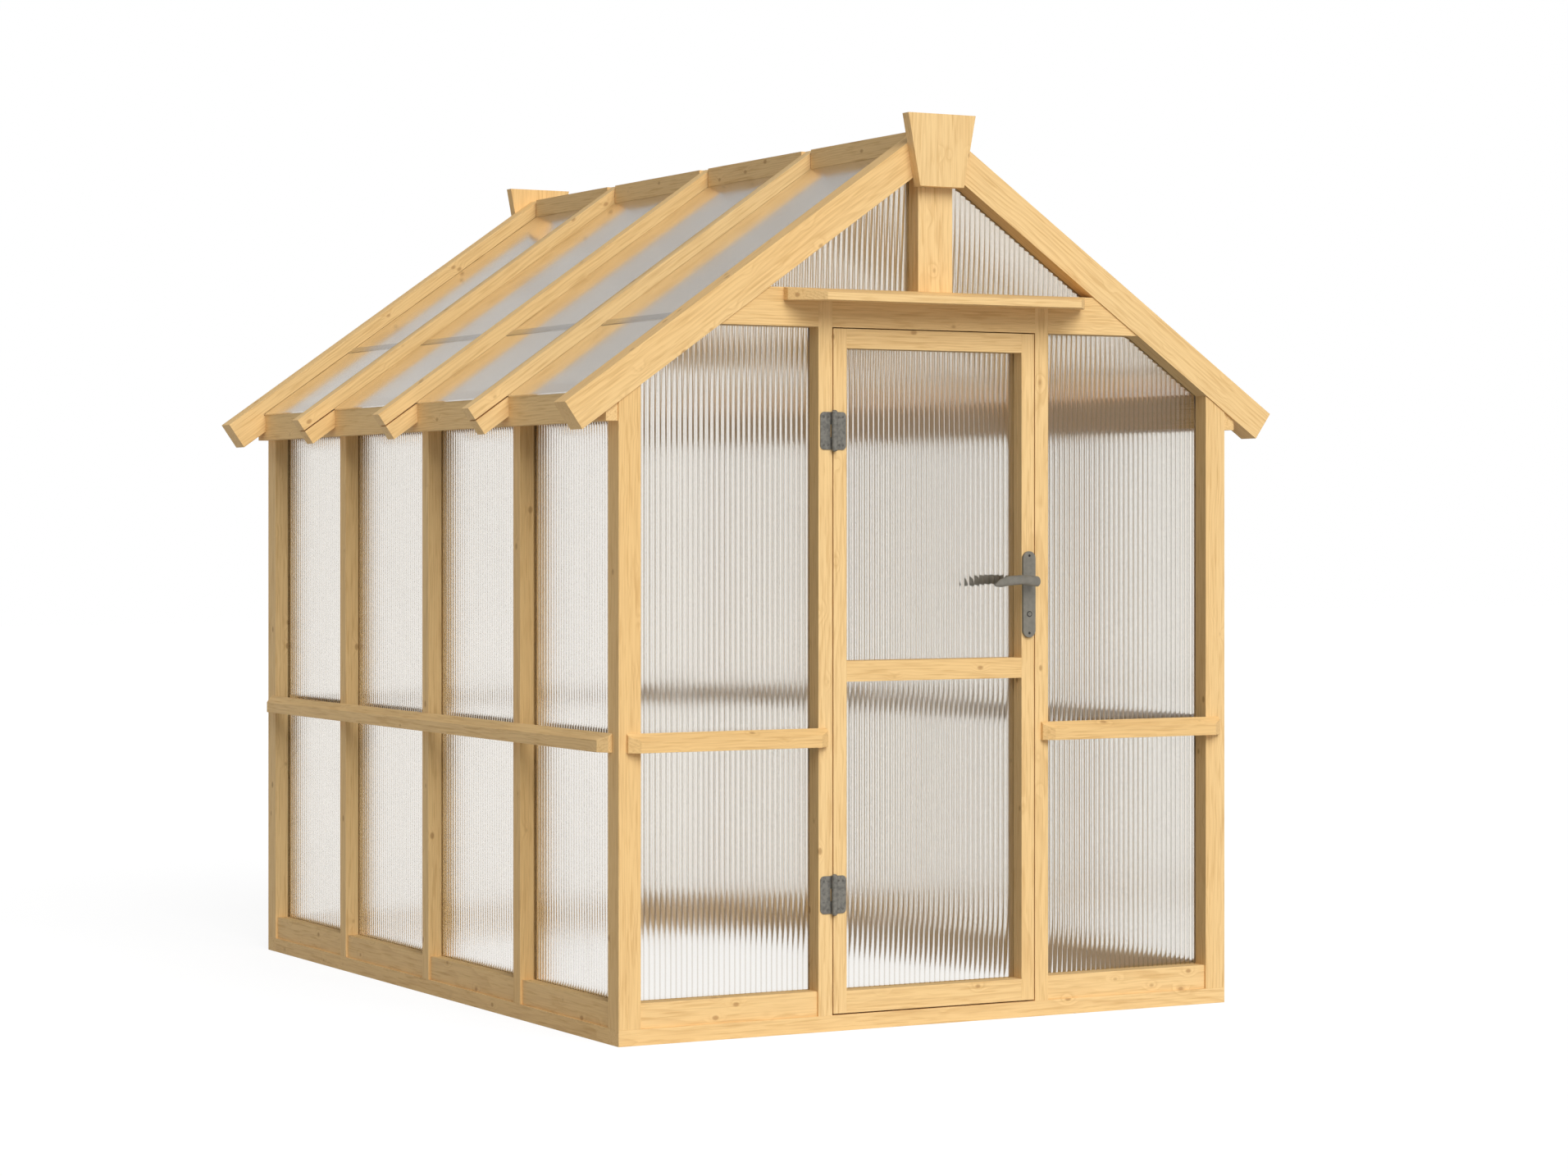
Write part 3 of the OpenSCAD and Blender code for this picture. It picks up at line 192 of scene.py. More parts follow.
def pine(name, turn, both_slopes=False):
    """Planed pine. turn brings the grain onto X, and both_slopes reads the two halves of the roof alike."""
    material = bpy.data.materials.new(name)
    material.use_nodes = True
    tree = material.node_tree
    tree.nodes.clear()
    place = add(tree, "ShaderNodeTexCoord").outputs["Object"]
    if both_slopes:
        part = add(tree, "ShaderNodeSeparateXYZ", {0: place})
        other_log = maths(tree, "MULTIPLY", maths(tree, "SIGN", part.outputs["X"]), OTHER_LOG)
        place = add(tree, "ShaderNodeCombineXYZ", {
            "X": maths(tree, "ABSOLUTE", part.outputs["X"]),
            "Y": maths(tree, "ADD", part.outputs["Y"], other_log),
            "Z": part.outputs["Z"]}).outputs[0]
    along = add(tree, "ShaderNodeMapping", {"Vector": place, "Rotation": turn}).outputs[0]
    grain = add(tree, "ShaderNodeGroup", node_tree=PINE_GRAIN)
    tree.links.new(along, grain.inputs[0])
    bump = add(tree, "ShaderNodeBump", {
        "Height": grain.outputs["Relief"], "Strength": GRAIN_BUMP, "Distance": GRAIN_DEPTH})
    rough = ranged(tree, grain.outputs["Relief"], 0.0, 1.0, EARLY_ROUGHNESS, LATE_ROUGHNESS)
    surface = add(tree, "ShaderNodeBsdfPrincipled", {
        "Base Color": grain.outputs["Color"], "Roughness": rough,
        "Normal": bump.outputs[0], "Specular IOR Level": PINE_SPECULAR})
    add(tree, "ShaderNodeOutputMaterial", {"Surface": surface.outputs[0]})
    return material


PINE_X = pine("pine_along_the_front", (0, 0, 0))
PINE_Y = pine("pine_along_the_sides", (0, 0, radians(-90)))


def round_edges(piece, width):
    """Rounds the piece's sharp edges."""
    bevel = piece.modifiers.new("arris", "BEVEL")
    bevel.width = width
    bevel.segments = ARRIS_STEPS
    bevel.limit_method = "ANGLE"
    bevel.angle_limit = SHARP_EDGE
    bevel.harden_normals = False


def dress(node, material, arris=ARRIS):
    """The CAD node in its own finish, with its arrises taken off."""
    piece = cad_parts[node]
    piece.data.materials.clear()
    piece.data.materials.append(material)
    weld = piece.modifiers.new("merge", "WELD")
    weld.merge_threshold = SAME_POINT
    if arris:
        round_edges(piece, arris)


for node in ("front_sole", "rear_sole", "front_bottom_boards", "rear_bottom_boards"):
    dress(node, PINE_X)
for node in ("side_soles", "side_bottom_boards"):
    dress(node, PINE_Y)

# Corner posts, studs, jambs and their cover boards: upright softwood between sole and roof.
# Studs and jambs are a rebated core with a planed board nailed over it, which leaves a fine
# seam round each board. The king posts stand on the tie beams in the same section.
PINE_Z = pine("pine_upright", (0, radians(90), 0))

for node in ("front_corner_posts", "rear_corner_posts", "side_studs", "side_cover_boards",
             "rear_studs", "rear_cover_boards", "door_jambs", "front_cover_boards",
             "front_king_post", "rear_king_post"):
    dress(node, PINE_Z)

# Tie beams, wall plates and eave beams: level softwood that ties the walls under the roof.
# The tie beams are cut under the gable rafters, and the eave beams are notched for every
# rafter and screwed to the plates from outside.
for node in ("front_tie_beam", "rear_tie_beam"):
    dress(node, PINE_X)
for node in ("wall_plates", "eave_beams"):
    dress(node, PINE_Y)

# Rafters: one deep gable rafter at each edge of the roof, and between them lower rafters
# with a batten screwed over each, which holds the edges of the roof sheets.
ROOF_PITCH = radians(35)
PINE_SLOPE = pine("pine_down_the_slope", (0, -ROOF_PITCH, 0), both_slopes=True)

for node in ("front_gable_rafters", "rear_gable_rafters", "left_rafters", "right_rafters",
             "left_rafter_battens", "right_rafter_battens"):
    dress(node, PINE_SLOPE)

# Ridge: a softwood beam between the gable rafters, with a flat cap over each bay.
# A tapered board with upright grain is screwed over each end of the ridge.
for node in ("ridge_beam", "ridge_caps"):
    dress(node, PINE_Y)
for node in ("front_ridge_ornament", "rear_ridge_ornament"):
    dress(node, PINE_Z)

# Sills and door canopy: softwood planed to a fall so that rain runs off, with the corners
# of their front edges cut back. They are screwed to the face of the walls.
for node in ("front_sills", "rear_sill", "door_canopy"):
    dress(node, PINE_X)
dress("side_sills", PINE_Y)

# Glazing beads and door stops: thin planed strips, nailed inside behind the sheets and
# round the door opening.
for node in ("end_wall_beads", "side_wall_beads", "door_stops", "door_beads"):
    dress(node, PINE_Z)

# Door: two stiles and three rails of softwood, mortised together, with the grain of each
# member along its length.
dress("door_stiles", PINE_Z)
dress("door_rails", PINE_X)

# Reeded sheets: clear extruded sheet with round ribs outside and a flat back, 6 mm thick,
# laid in the rebates of the walls, the gables and the door. The ribs stand upright.
RIB_PITCH = 0.016
RIB_DEPTH = 0.002
RIB_STEPS = 12
SAME_EDGE = 1e-4

REEDED_TINT = (0.97, 0.952, 0.920, 1)
# Painted shade: the valleys between the ribs are tinted darker, most at their bottom, for the dark lines that
# the ribs' refraction shows
PAINTED_VALLEY_SHADE = (0.57, 0.515, 0.437, 1)
VALLEY_SHADE_STARTS = 0.3
PLASTIC_IOR = 1.45
DUST_CELLS = 9.0
DUST_LEVELS = (0.35, 0.7)
DUST_DULLS = (0.85, 1.2)
SHADE_BLUE = 0.98

# Inner webs of a sheet, in shares of their pitch, and the gloss of its faces at a low glance
WEB_TINT = (0.70, 0.70, 0.69, 1)
WEB_HALF_WIDTH = 0.07
WEB_SHARE = 0.5
WEB_BUMP = 0.3
WEB_RELIEF = 0.0004
GLANCE = (0.3, 0.8)
GLOSS_HEAD_ON = 0.06
GLOSS_TINT = (1, 0.96, 0.91, 1)


def clear_sheet(name, colour, dullness, shade, lines=None, valley_shade=None, gloss=0.0):
    """Plastic sheet that blurs by its dullness and lets a share of the lamp's light through, its shade.

    lines is the pitch of its inner webs along Y, in metres, valley_shade the painted shade laid
    in the valleys between its ribs for the dark lines that their refraction shows, and gloss the share
    of the light that its faces mirror at a low glance.
    """
    material = bpy.data.materials.new(name)
    material.use_nodes = True
    tree = material.node_tree
    tree.nodes.clear()
    place = add(tree, "ShaderNodeTexCoord").outputs["Object"]
    dust = add(tree, "ShaderNodeTexNoise", {"Vector": place, "Scale": DUST_CELLS, "Detail": 4.0}).outputs[0]
    rough = ranged(tree, dust, *DUST_LEVELS, dullness * DUST_DULLS[0], dullness * DUST_DULLS[1])
    plastic = add(tree, "ShaderNodeBsdfPrincipled", {
        "Base Color": colour, "Roughness": rough, "IOR": PLASTIC_IOR, "Transmission Weight": 1.0})
    if lines:
        across = add(tree, "ShaderNodeSeparateXYZ", {0: place}).outputs["Y"]
        web = maths(tree, "LESS_THAN", maths(tree, "PINGPONG", across, lines / 2), lines * WEB_HALF_WIDTH)
        tint = blend(tree, maths(tree, "MULTIPLY", web, WEB_SHARE), colour, WEB_TINT)
        tree.links.new(tint, plastic.inputs["Base Color"])
        bump = add(tree, "ShaderNodeBump", {"Height": web, "Strength": WEB_BUMP, "Distance": WEB_RELIEF})
        tree.links.new(bump.outputs[0], plastic.inputs["Normal"])
    # Painted shade: the colour darkens towards the bottom of each valley between the ribs, for the dark lines
    # that refraction shows there
    if valley_shade:
        depth = add(tree, "ShaderNodeAttribute", attribute_name="valley").outputs["Fac"]
        share = ranged(tree, depth, VALLEY_SHADE_STARTS, 1.0)
        tree.links.new(blend(tree, share, colour, valley_shade), plastic.inputs["Base Color"])
    body = plastic.outputs[0]
    if gloss:
        facing = add(tree, "ShaderNodeLayerWeight", {"Blend": 0.5}).outputs["Facing"]
        mirrored = ranged(tree, facing, *GLANCE, GLOSS_HEAD_ON, gloss)
        mirror = add(tree, "ShaderNodeBsdfAnisotropic", {"Color": GLOSS_TINT, "Roughness": rough}).outputs[0]
        body = add(tree, "ShaderNodeMixShader", {0: mirrored, 1: body, 2: mirror}).outputs[0]
    see_through = add(tree, "ShaderNodeBsdfTransparent", {"Color": (shade, shade, shade * SHADE_BLUE, 1)})
    shadow = add(tree, "ShaderNodeLightPath").outputs["Is Shadow Ray"]
    surface = add(tree, "ShaderNodeMixShader", {0: shadow, 1: body, 2: see_through.outputs[0]})
    add(tree, "ShaderNodeOutputMaterial", {"Surface": surface.outputs[0]})
    return material


def inputs_of(tree, floats, **others):
    """Named inputs of a Geometry Nodes tree, and its one output. Returns the inputs' sockets by name."""
    for name in floats:
        tree.interface.new_socket(name, in_out="INPUT", socket_type="NodeSocketFloat")
    for name, kind in others.items():
        tree.interface.new_socket(name, in_out="INPUT", socket_type=f"NodeSocket{kind}")
    tree.interface.new_socket("Geometry", in_out="OUTPUT", socket_type="NodeSocketGeometry")
    return add(tree, "NodeGroupInput").outputs


def reeded_sheet():
    """Sheet with its ribs in front: X runs across it, Y goes through it and Z up, up to a sloped top edge.

    The ribs are set out from the middle of its width, as they are on the CAD part.
    """
    tree = bpy.data.node_groups.new("reeded_sheet", "GeometryNodeTree")
    size = inputs_of(tree, ["Width", "Height", "Low Height", "Low Side", "Slope", "Thickness",
                            "Rib Pitch", "Rib Depth", "Rib Steps"], Material="Material")
    step = maths(tree, "DIVIDE", size["Rib Pitch"], size["Rib Steps"])
    two_ribs = maths(tree, "MULTIPLY", size["Rib Pitch"], 2.0)
    pairs = maths(tree, "CEIL", maths(tree, "DIVIDE", size["Width"], two_ribs))
    columns = maths(tree, "MULTIPLY", maths(tree, "MULTIPLY", pairs, 2.0), size["Rib Steps"])
    length = maths(tree, "MULTIPLY", columns, step)
    middle = maths(tree, "MULTIPLY", size["Width"], 0.5)
    plan = add(tree, "GeometryNodeMeshGrid", {
        "Size X": length, "Size Y": 1.0, "Vertices Y": 2,
        "Vertices X": maths(tree, "ADD", columns, 1.0)})
    place = add(tree, "ShaderNodeSeparateXYZ", {0: add(tree, "GeometryNodeInputPosition").outputs[0]})
    x = maths(tree, "ADD", place.outputs["X"], middle)
    x = maths(tree, "MAXIMUM", maths(tree, "MINIMUM", x, size["Width"]), 0.0)

    half = maths(tree, "MULTIPLY", size["Rib Pitch"], 0.5)
    from_middle = maths(tree, "ABSOLUTE", maths(tree, "SUBTRACT", x, middle))
    off_crest = maths(tree, "FLOORED_MODULO", maths(tree, "ADD", from_middle, half), size["Rib Pitch"])
    off_crest = maths(tree, "SUBTRACT", off_crest, half)
    squares = maths(tree, "ADD", maths(tree, "POWER", half, 2.0),
                    maths(tree, "POWER", size["Rib Depth"], 2.0))
    radius = maths(tree, "DIVIDE", squares, maths(tree, "MULTIPLY", size["Rib Depth"], 2.0))
    fall = maths(tree, "SUBTRACT", radius, maths(tree, "SQRT", maths(
        tree, "SUBTRACT", maths(tree, "POWER", radius, 2.0), maths(tree, "POWER", off_crest, 2.0))))
    behind = maths(tree, "GREATER_THAN", place.outputs["Y"], 0.0)
    y = add(tree, "ShaderNodeMix", {0: behind, 2: fall, 3: size["Thickness"]}).outputs[0]
    valley = maths(tree, "MULTIPLY", maths(tree, "DIVIDE", fall, size["Rib Depth"]),
                   maths(tree, "SUBTRACT", 1.0, behind))
    marked = add(tree, "GeometryNodeStoreNamedAttribute", {
        "Geometry": plan.outputs[0], "Name": "valley", "Value": valley}, data_type="FLOAT", domain="POINT")
    outline = add(tree, "GeometryNodeSetPosition", {
        "Geometry": marked.outputs[0],
        "Position": add(tree, "ShaderNodeCombineXYZ", {"X": x, "Y": y}).outputs[0]})

    raised = add(tree, "GeometryNodeExtrudeMesh", {
        "Mesh": outline.outputs[0], "Offset": (0, 0, 1), "Offset Scale": size["Height"],
        "Individual": False})
    foot = add(tree, "GeometryNodeFlipFaces", {"Mesh": outline.outputs[0]})
    whole = add(tree, "GeometryNodeJoinGeometry", {0: raised.outputs[0]})
    tree.links.new(foot.outputs[0], whole.inputs[0])
    here = add(tree, "ShaderNodeSeparateXYZ", {0: add(tree, "GeometryNodeInputPosition").outputs[0]})
    from_low = maths(tree, "ABSOLUTE", maths(tree, "SUBTRACT", here.outputs["X"], size["Low Side"]))
    top = maths(tree, "ADD", size["Low Height"], maths(tree, "MULTIPLY", from_low, size["Slope"]))
    cut = add(tree, "GeometryNodeSetPosition", {
        "Geometry": whole.outputs[0],
        "Position": add(tree, "ShaderNodeCombineXYZ", {
            "X": here.outputs["X"], "Y": here.outputs["Y"],
            "Z": maths(tree, "MINIMUM", here.outputs["Z"], top)}).outputs[0]})
    closed = add(tree, "GeometryNodeMergeByDistance", {"Geometry": cut.outputs[0], "Distance": SAME_POINT})
    real = add(tree, "GeometryNodeRealizeInstances", {"Geometry": closed.outputs[0]})
    painted = add(tree, "GeometryNodeSetMaterial", {
        "Geometry": real.outputs[0], "Material": size["Material"]})
    add(tree, "NodeGroupOutput", {"Geometry": painted.outputs[0]})
    return tree


def grown(tree, place, **values):
    """Plain mesh that the tree makes from those inputs, put in its place."""
    carrier = bpy.data.objects.new(tree.name, bpy.data.meshes.new(tree.name))
    scene.collection.objects.link(carrier)
    modifier = carrier.modifiers.new(tree.name, "NODES")
    modifier.node_group = tree
    for item in tree.interface.items_tree:
        if item.in_out == "INPUT":
            modifier[item.identifier] = values[item.name.replace(" ", "_").lower()]
    bpy.context.view_layer.update()
    shown = carrier.evaluated_get(bpy.context.evaluated_depsgraph_get())
    mesh = bpy.data.meshes.new_from_object(shown)
    bpy.data.objects.remove(carrier)
    mesh.transform(place)
    return mesh


def piece_of(name, meshes, material, smooth_below, merged=False):
    """One object from several meshes, at the origin, smooth across edges flatter than an angle."""
    whole = bmesh.new()
    for mesh in meshes:
        whole.from_mesh(mesh)
    if merged:
        bmesh.ops.remove_doubles(whole, verts=whole.verts, dist=SAME_POINT)
    mesh = bpy.data.meshes.new(name)
    whole.to_mesh(mesh)
    whole.free()
    mesh.materials.append(material)
    mesh.shade_smooth()
    mesh.set_sharp_from_angle(angle=smooth_below)
    piece = bpy.data.objects.new(name, mesh)
    scene.collection.objects.link(piece)
    return piece


def solids(node):
    """Corner points of each separate solid of a CAD node, in order of place."""
    shape = bmesh.new()
    shape.from_mesh(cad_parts[node].data)
    bmesh.ops.remove_doubles(shape, verts=shape.verts, dist=SAME_POINT)
    waiting = set(shape.verts)
    found = []
    while waiting:
        reached = [waiting.pop()]
        points = []
        while reached:
            corner = reached.pop()
            points.append(corner.co.copy())
            for edge in corner.link_edges:
                other = edge.other_vert(corner)
                if other in waiting:
                    waiting.remove(other)
                    reached.append(other)
        found.append(points)
    shape.free()
    return sorted(found, key=lambda points: tuple(round(min(p[i] for p in points), 4) for i in range(3)))


REEDED_SHEET = reeded_sheet()
# The reeded sheets carry painted shade in the valleys between their ribs
REEDED_CLEAR = clear_sheet("reeded_clear_plastic", REEDED_TINT, dullness=0.10, shade=0.85,
                           valley_shade=PAINTED_VALLEY_SHADE)


def reeded(node, outward):
    """Meshes that stand for the CAD node's sheets. outward gives the way that one solid's ribs face."""
    meshes = []
    for points in solids(node):
        low = Vector([min(p[i] for p in points) for i in range(3)])
        high = Vector([max(p[i] for p in points) for i in range(3)])
        facing = outward(low)
        angle, corner = {
            "-Y": (0, (low.x, low.y)), "+X": (90, (high.x, low.y)),
            "+Y": (180, (high.x, high.y)), "-X": (-90, (low.x, high.y))}[facing]
        turn = Matrix.Rotation(radians(angle), 4, "Z")
        on_end_wall = facing[1] == "Y"
        across = high.x - low.x if on_end_wall else high.y - low.y
        through = high.y - low.y if on_end_wall else high.x - low.x
        outer_x = high.x if abs(high.x) > abs(low.x) else low.x
        outer_top = max(p.z for p in points if abs(p.x - outer_x) < SAME_EDGE)
        level = outer_top > high.z - SAME_EDGE
        low_at_end = (outer_x == high.x) == (facing == "-Y")
        meshes.append(grown(
            REEDED_SHEET, Matrix.Translation((*corner, low.z)) @ turn,
            width=across, height=high.z - low.z, low_height=outer_top - low.z,
            low_side=across if low_at_end else 0.0, slope=0.0 if level else tan(ROOF_PITCH),
            thickness=through, rib_pitch=RIB_PITCH, rib_depth=RIB_DEPTH, rib_steps=float(RIB_STEPS),
            material=REEDED_CLEAR))
    return meshes


for name, node, body, outward in (
        ("front_reeded_sheets", "front_wall_panes", "frame", lambda low: "-Y"),
        ("rear_reeded_sheets", "rear_wall_panes", "frame", lambda low: "+Y"),
        ("side_reeded_sheets", "side_wall_panes", "frame", lambda low: "+X" if low.x > 0 else "-X"),
        ("gable_reeded_sheets", "gable_panes", "frame", lambda low: "+Y" if low.y > 0 else "-Y"),
        ("door_reeded_sheets", "door_panes", "door", lambda low: "-Y")):
    sheets = piece_of(name, reeded(node, outward), REEDED_CLEAR, smooth_below=radians(25))
    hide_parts(node)
    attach(sheets, body)

# Roof sheets: clear twin-wall plastic, 4 mm thick, with webs down the slope. In each bay a
# short and a long sheet meet in a pressed joiner strip of H section.
ROOF_TINT = (0.90, 0.84, 0.75, 1)
JOINER_TINT = (0.66, 0.64, 0.60, 1)
WEB_PITCH = 0.009
ROOF_CLEAR = clear_sheet("twin_wall_clear_plastic", ROOF_TINT, dullness=0.15, shade=0.70,
                         lines=WEB_PITCH, gloss=0.75)
JOINER_CLEAR = clear_sheet("joiner_clear_plastic", JOINER_TINT, dullness=0.2, shade=0.5, gloss=0.45)
for node in ("left_roof_panes", "right_roof_panes"):
    dress(node, ROOF_CLEAR, arris=0)
dress("roof_joiners", JOINER_CLEAR, arris=0)

# Hinges: two surface hinges of dark zinc-plated steel. Each has a leaf with round corners on
# the jamb and on the door, knuckles between them and a pin with round ends.
HINGE_LEAF_T = 0.0025
HINGE_LEAF_H = 0.102
HINGE_LEAF_W = 0.040
HINGE_EDGE = 0.0004
SCREW_R = 0.0038
SCREW_H = 0.0016
SCREW_INSET = 0.013
SCREW_COLUMNS_APART = 0.014
SCREW_COLUMNS_SHARE = 0.42
SCREW_SEGMENTS = 20
SCREW_RINGS = 10

# Cross recess of a screw, in shares of its head's radius and height
RECESS_REACH = 1.15
RECESS_WIDTH = 0.26
RECESS_HEIGHT = 1.2

ZINC = (0.245, 0.232, 0.202, 1)
ZINC_DARK = (0.150, 0.143, 0.126, 1)
MOTTLE_LEVELS = (0.4, 0.66)
MOTTLE_ROUGHNESS = 0.1
CAST_GRAIN_CELLS = 900.0
CAST_GRAIN_BUMP = 0.3
CAST_GRAIN_DEPTH = 0.0002
METALLIC = 0.35


def metal(name, colour, dark, roughness, mottle_cells):
    """Cast or plated metal, mottled between two colours, with a fine grain in its relief."""
    material = bpy.data.materials.new(name)
    material.use_nodes = True
    tree = material.node_tree
    tree.nodes.clear()
    place = add(tree, "ShaderNodeTexCoord").outputs["Object"]
    mottle = add(tree, "ShaderNodeTexNoise", {
        "Vector": place, "Scale": mottle_cells, "Detail": 4.0}).outputs[0]
    share = ranged(tree, mottle, *MOTTLE_LEVELS)
    rough = ranged(tree, mottle, 0.0, 1.0, roughness + MOTTLE_ROUGHNESS, roughness - MOTTLE_ROUGHNESS)
    grain = add(tree, "ShaderNodeTexNoise", {
        "Vector": place, "Scale": CAST_GRAIN_CELLS, "Detail": 2.0}).outputs[0]
    bump = add(tree, "ShaderNodeBump", {
        "Height": grain, "Strength": CAST_GRAIN_BUMP, "Distance": CAST_GRAIN_DEPTH}).outputs[0]
    surface = add(tree, "ShaderNodeBsdfPrincipled", {
        "Base Color": blend(tree, share, colour, dark), "Roughness": rough, "Normal": bump,
        "Metallic": METALLIC})
    add(tree, "ShaderNodeOutputMaterial", {"Surface": surface.outputs[0]})
    return material


def finish_metal(node, body, material, arris):
    """A merged copy of the CAD node takes its place, with smooth curves and its edges just rounded."""
    piece = piece_of(f"finished_{node}", [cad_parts[node].data], material,
                     smooth_below=radians(32), merged=True)
    if arris:
        round_edges(piece, arris)
    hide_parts(node)
    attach(piece, body)


def screw_heads():
    """Round heads with a cross recess on a grid in X and Y, standing along Z."""
    tree = bpy.data.node_groups.new("screw_heads", "GeometryNodeTree")
    size = inputs_of(tree, ["Head Radius", "Head Height", "Row Length", "Column Length"],
                     Columns="Int", Rows="Int", Material="Material")
    ball = add(tree, "GeometryNodeMeshUVSphere", {
        "Segments": SCREW_SEGMENTS, "Rings": SCREW_RINGS, "Radius": 1.0})
    scale = add(tree, "ShaderNodeCombineXYZ", {
        "X": size["Head Radius"], "Y": size["Head Radius"], "Z": size["Head Height"]})
    head = add(tree, "GeometryNodeTransform", {"Geometry": ball.outputs[0], "Scale": scale.outputs[0]})
    arm = maths(tree, "MULTIPLY", size["Head Radius"], RECESS_REACH)
    width = maths(tree, "MULTIPLY", size["Head Radius"], RECESS_WIDTH)
    deep = maths(tree, "MULTIPLY", size["Head Height"], RECESS_HEIGHT)
    recess = add(tree, "GeometryNodeMeshBoolean", {"Mesh 1": head.outputs[0]}, operation="DIFFERENCE")
    for x, y in ((arm, width), (width, arm)):
        block = add(tree, "GeometryNodeMeshCube", {
            "Size": add(tree, "ShaderNodeCombineXYZ", {"X": x, "Y": y, "Z": deep}).outputs[0]})
        lifted = add(tree, "GeometryNodeTransform", {
            "Geometry": block.outputs[0],
            "Translation": add(tree, "ShaderNodeCombineXYZ", {"Z": size["Head Height"]}).outputs[0]})
        tree.links.new(lifted.outputs[0], recess.inputs["Mesh 2"])
    points = add(tree, "GeometryNodeMeshGrid", {
        "Size X": size["Row Length"], "Size Y": size["Column Length"],
        "Vertices X": size["Columns"], "Vertices Y": size["Rows"]})
    placed = add(tree, "GeometryNodeInstanceOnPoints", {
        "Points": points.outputs[0], "Instance": recess.outputs[0]})
    real = add(tree, "GeometryNodeRealizeInstances", {"Geometry": placed.outputs[0]})
    painted = add(tree, "GeometryNodeSetMaterial", {
        "Geometry": real.outputs[0], "Material": size["Material"]})
    add(tree, "NodeGroupOutput", {"Geometry": painted.outputs[0]})
    return tree


SCREW_HEADS = screw_heads()
PLATED_DARK = metal("dark_zinc_plate", ZINC, ZINC_DARK, roughness=0.55, mottle_cells=120.0)
FACING_FRONT = Matrix.Rotation(radians(90), 4, "X")
FACING_REAR = Matrix.Rotation(radians(-90), 4, "X")
for node, body in (("frame_hinge_leaves", "frame"), ("hinge_pins", "frame"), ("door_hinge_leaves", "door")):
    finish_metal(node, body, PLATED_DARK, arris=HINGE_EDGE)

door_face_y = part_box("door_stiles")[0].y
for name, node, body in (("jamb_hinge_screws", "frame_hinge_leaves", "frame"),
                         ("door_hinge_screws", "door_hinge_leaves", "door")):
    low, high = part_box(node)
    from_edge = HINGE_LEAF_W * SCREW_COLUMNS_SHARE
    middle_x = low.x + from_edge if body == "frame" else high.x - from_edge
    heads = []
    for z in (low.z + HINGE_LEAF_H / 2, high.z - HINGE_LEAF_H / 2):
        heads.append(grown(
            SCREW_HEADS, Matrix.Translation((middle_x, door_face_y - HINGE_LEAF_T, z)) @ FACING_FRONT,
            head_radius=SCREW_R, head_height=SCREW_H, row_length=SCREW_COLUMNS_APART,
            column_length=HINGE_LEAF_H - 2 * SCREW_INSET, columns=2, rows=2, material=PLATED_DARK))
    screws = piece_of(name, heads, PLATED_DARK, smooth_below=radians(30))
    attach(screws, body)

# Lock: long handle plates of grey painted metal on both faces of the door, with cast levers
# on one square spindle. The case, the faceplate and the bolts in the stile are plain steel,
# and the cylinder is blackened, with a grey key plug.
GREY_PAINT = (0.250, 0.232, 0.194, 1)
GREY_PAINT_DARK = (0.204, 0.189, 0.158, 1)
# Blackened finish of the cylinder; the same dark is painted on the plate screws' heads as the shade in their
# countersunk recesses
BLACKENED_AND_SCREW_SHADE = (0.060, 0.057, 0.050, 1)
BLACKENED_AND_SCREW_SHADE_DARK = (0.035, 0.033, 0.029, 1)
STEEL = (0.55, 0.55, 0.53, 1)
STEEL_DARK = (0.42, 0.42, 0.40, 1)
PLATE_EDGE = 0.0008
STEEL_EDGE = 0.0002
PLATE_SCREW_INSET = 0.012
GREY_METAL = metal("grey_painted_metal", GREY_PAINT, GREY_PAINT_DARK, roughness=0.5, mottle_cells=60.0)
# Blackened metal for the cylinder, also the painted shade of the plate screws' countersunk recesses
BLACKENED_METAL_AND_SCREW_SHADE = metal("dark_screws", BLACKENED_AND_SCREW_SHADE, BLACKENED_AND_SCREW_SHADE_DARK, roughness=0.5, mottle_cells=60.0)
PLAIN_STEEL = metal("plain_steel", STEEL, STEEL_DARK, roughness=0.38, mottle_cells=150.0)
finish_metal("handle_plates", "door", GREY_METAL, arris=PLATE_EDGE)
finish_metal("lever_handles", "lever", GREY_METAL, arris=0)
finish_metal("lock_cylinder", "door", BLACKENED_METAL_AND_SCREW_SHADE, arris=0)
finish_metal("lock_plug", "plug", GREY_METAL, arris=0)
for node in ("lock_case", "lock_faceplate", "strike_plate", "dead_bolt", "latch_bolt"):
    dress(node, PLAIN_STEEL, arris=STEEL_EDGE)

plate_low, plate_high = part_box("handle_plates")
plate_middle = (plate_low + plate_high) / 2
# The plate's screws are round heads painted near black: painted shade standing for their countersunk recesses
heads = []
for y, turn in ((plate_low.y, FACING_FRONT), (plate_high.y, FACING_REAR)):
    heads.append(grown(
        SCREW_HEADS, Matrix.Translation((plate_middle.x, y, plate_middle.z)) @ turn,
        head_radius=SCREW_R, head_height=SCREW_H, row_length=0.0,
        column_length=plate_high.z - plate_low.z - 2 * PLATE_SCREW_INSET, columns=1, rows=2,
        material=BLACKENED_METAL_AND_SCREW_SHADE))
plate_screws = piece_of("handle_plate_screws", heads, BLACKENED_METAL_AND_SCREW_SHADE, smooth_below=radians(30))
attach(plate_screws, "door")

# Floor: a plain pale studio floor, level with the ground under the soles. Its own light lifts
# it to white in the picture, while the shadow of the object still falls on it.
FLOOR_SIDE = 80.0
WHITE = (1, 1, 1, 1)
